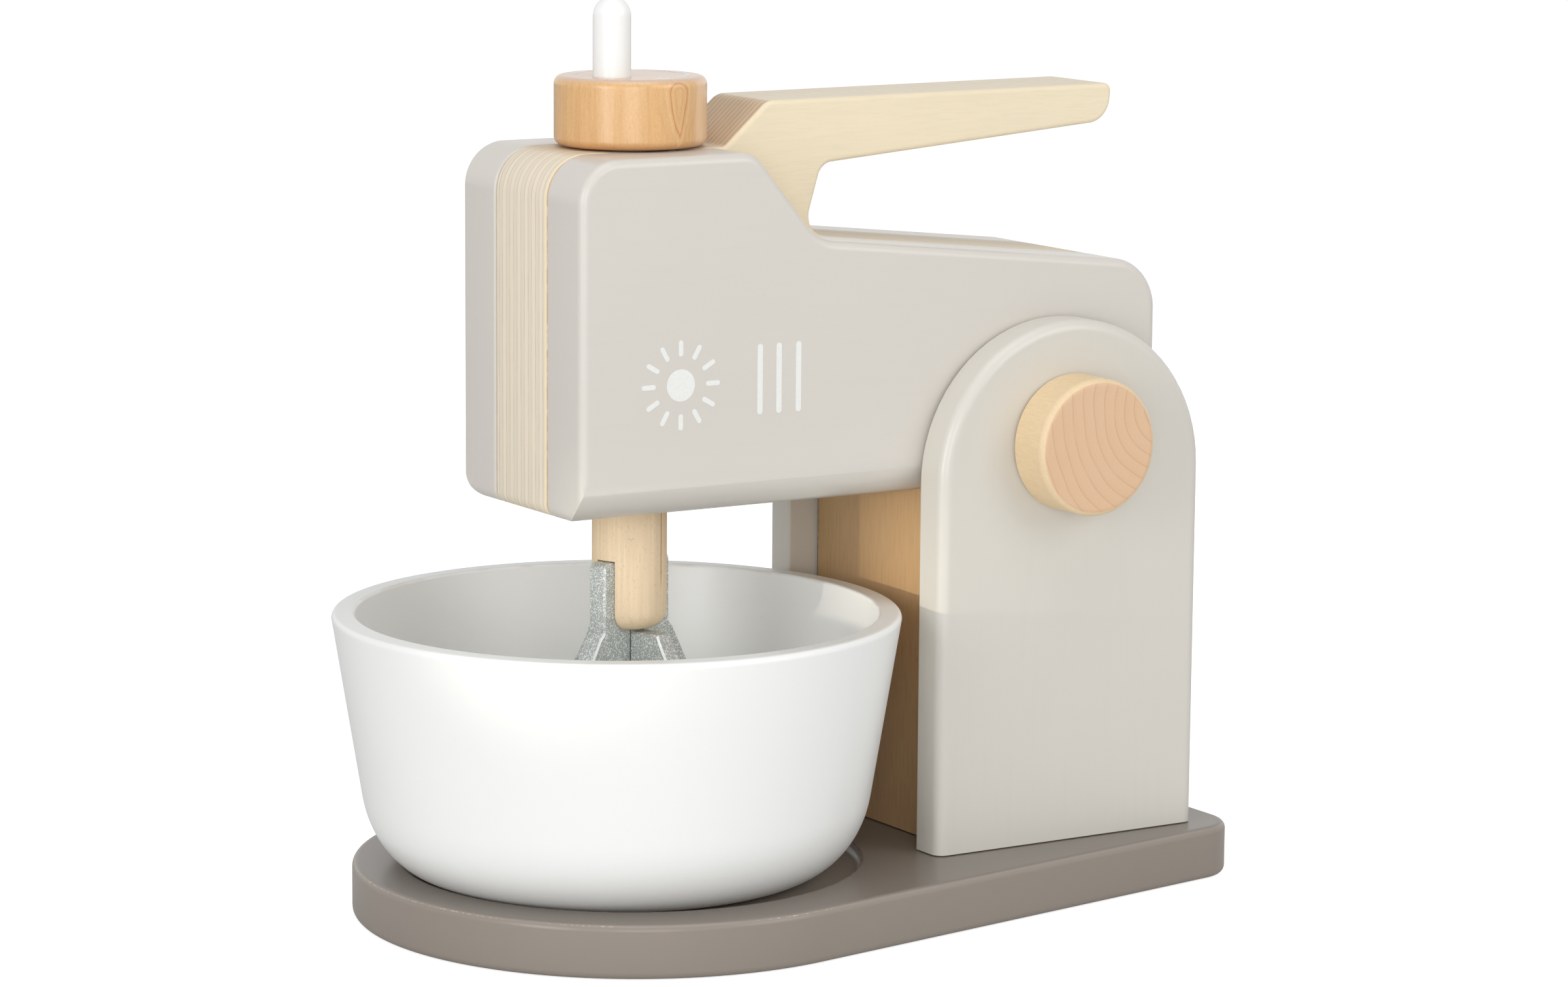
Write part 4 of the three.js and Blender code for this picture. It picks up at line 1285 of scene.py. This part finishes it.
# %% Arrow on the knob
ring_radius = 15
ring_width = 1.2
ring_start = radians(-84)
ring_turn = radians(232)
head_half, head_length = 2.2, 3.6
ring = bmesh.new()
rim = (ring_radius - ring_width / 2, ring_radius + ring_width / 2)
ring.edges.new([ring.verts.new((radius, 0, 0)) for radius in rim])
bmesh.ops.spin(
    ring, geom=ring.verts[:] + ring.edges[:], axis=(0, 0, 1), cent=(0, 0, 0), angle=ring_turn,
    steps=90,
)
head = flat_face([
    (ring_radius - head_half, 0, 0), (ring_radius + head_half, 0, 0),
    (ring_radius, -head_length, 0),
])
arrow = moved(rotated(film([ring, head]), ring_start, "Z"), crank_x, 0, knob_high.z)
finished("arrow_print", arrow, "crank", white_ink)

# %% [markdown]
# ## Stage
# The photograph has a white room: soft light from everywhere, with more from the left and from low
# in front, which reaches under the arm and into the bowl. The world gives the even part and five
# large lamps give the rest. To the camera the floor and the world are white, and the floor still
# takes the object's shadow.

# %% Floor and world
floor_drop = 0.2
floor_glow = 0.72
room_light = 0.42


def empty_tree(owner):
    owner.use_nodes = True
    owner.node_tree.nodes.clear()
    return owner.node_tree


floor_mesh = bmesh.new()
bmesh.ops.create_grid(floor_mesh, x_segments=1, y_segments=1, size=4)
floor = shop_object("floor", moved(floor_mesh, z=-floor_drop * mm))

floor_look = bpy.data.materials.new("floor_white")
tree = empty_tree(floor_look)
seen = add_node(tree, "LightPath")["Is Camera Ray"]
plain = add_node(tree, "BsdfDiffuse", {"Color": (0.8, 0.8, 0.8, 1)})[0]
glow = add_node(tree, "Emission", {"Strength": floor_glow})[0]
lit = add_node(tree, "AddShader", {0: plain, 1: glow})[0]
add_node(tree, "OutputMaterial", {0: add_node(tree, "MixShader", {0: seen, 1: plain, 2: lit})[0]})
floor.data.materials.append(floor_look)

world = bpy.data.worlds.new("white_room")
bpy.context.scene.world = world
tree = empty_tree(world)
room = add_node(tree, "Background", {"Color": white, "Strength": room_light})[0]
backdrop = add_node(tree, "Background", {"Color": white, "Strength": 1})[0]
path = add_node(tree, "LightPath")
seen = path["Is Camera Ray"]
for other in ("Is Glossy Ray", "Is Transmission Ray"):
    seen = add_node(tree, "Math", {0: seen, 1: path[other]}, operation="MAXIMUM")[0]
add_node(tree, "OutputWorld", {0: add_node(tree, "MixShader", {0: seen, 1: room, 2: backdrop})[0]})
print("The room gives", room_light, "of the backdrop's light")

# %% [markdown]
# The lamps stand by direction and distance, each pointed at its aim: large soft squares for the
# object, and one narrow spot for light that slips between bowl and arm and glows on the block
# beside the near post.


# %% Lamps
def lamp(name, kind, aim, azimuth, elevation, distance, power, **settings):
    """A lamp in a direction from its aim, in degrees, and that many metres away."""
    data = bpy.data.lights.new(name, kind)
    data.energy = power
    for key, value in settings.items():
        setattr(data, key, value)
    turn, rise = radians(azimuth), radians(elevation)
    way = (cos(turn) * cos(rise), sin(turn) * cos(rise), sin(rise))
    made = placed(name, data)
    made.location = aim + distance * Vector(way)
    made.rotation_mode = "QUATERNION"
    made.rotation_quaternion = (aim - made.location).to_track_quat("-Z", "Y")
    print(name, "gives", power, "W")


object_middle = Vector((0.05, 0, 0.11))
for name, azimuth, elevation, distance, size, power in (
    ("lamp_left", -160, 18, 1.4, 0.5, 3.2), ("lamp_low", -155, 4, 1.4, 0.4, 1.9),
    ("lamp_front", -118, 9, 1.8, 0.8, 6.2), ("lamp_right", -62, 26, 1.5, 0.8, 4.3),
    ("lamp_top", -110, 78, 1.4, 1.0, 4.4),
):
    lamp(name, "AREA", object_middle, azimuth, elevation, distance, power,
         shape="SQUARE", size=size)

block_glow = Vector((77, -19, 89)) * mm
lamp("lamp_gleam", "SPOT", block_glow, -166, 3.5, 1.4, 34, color=(1, 0.93, 0.78),
     shadow_soft_size=0.02, spot_size=radians(3), spot_blend=1)
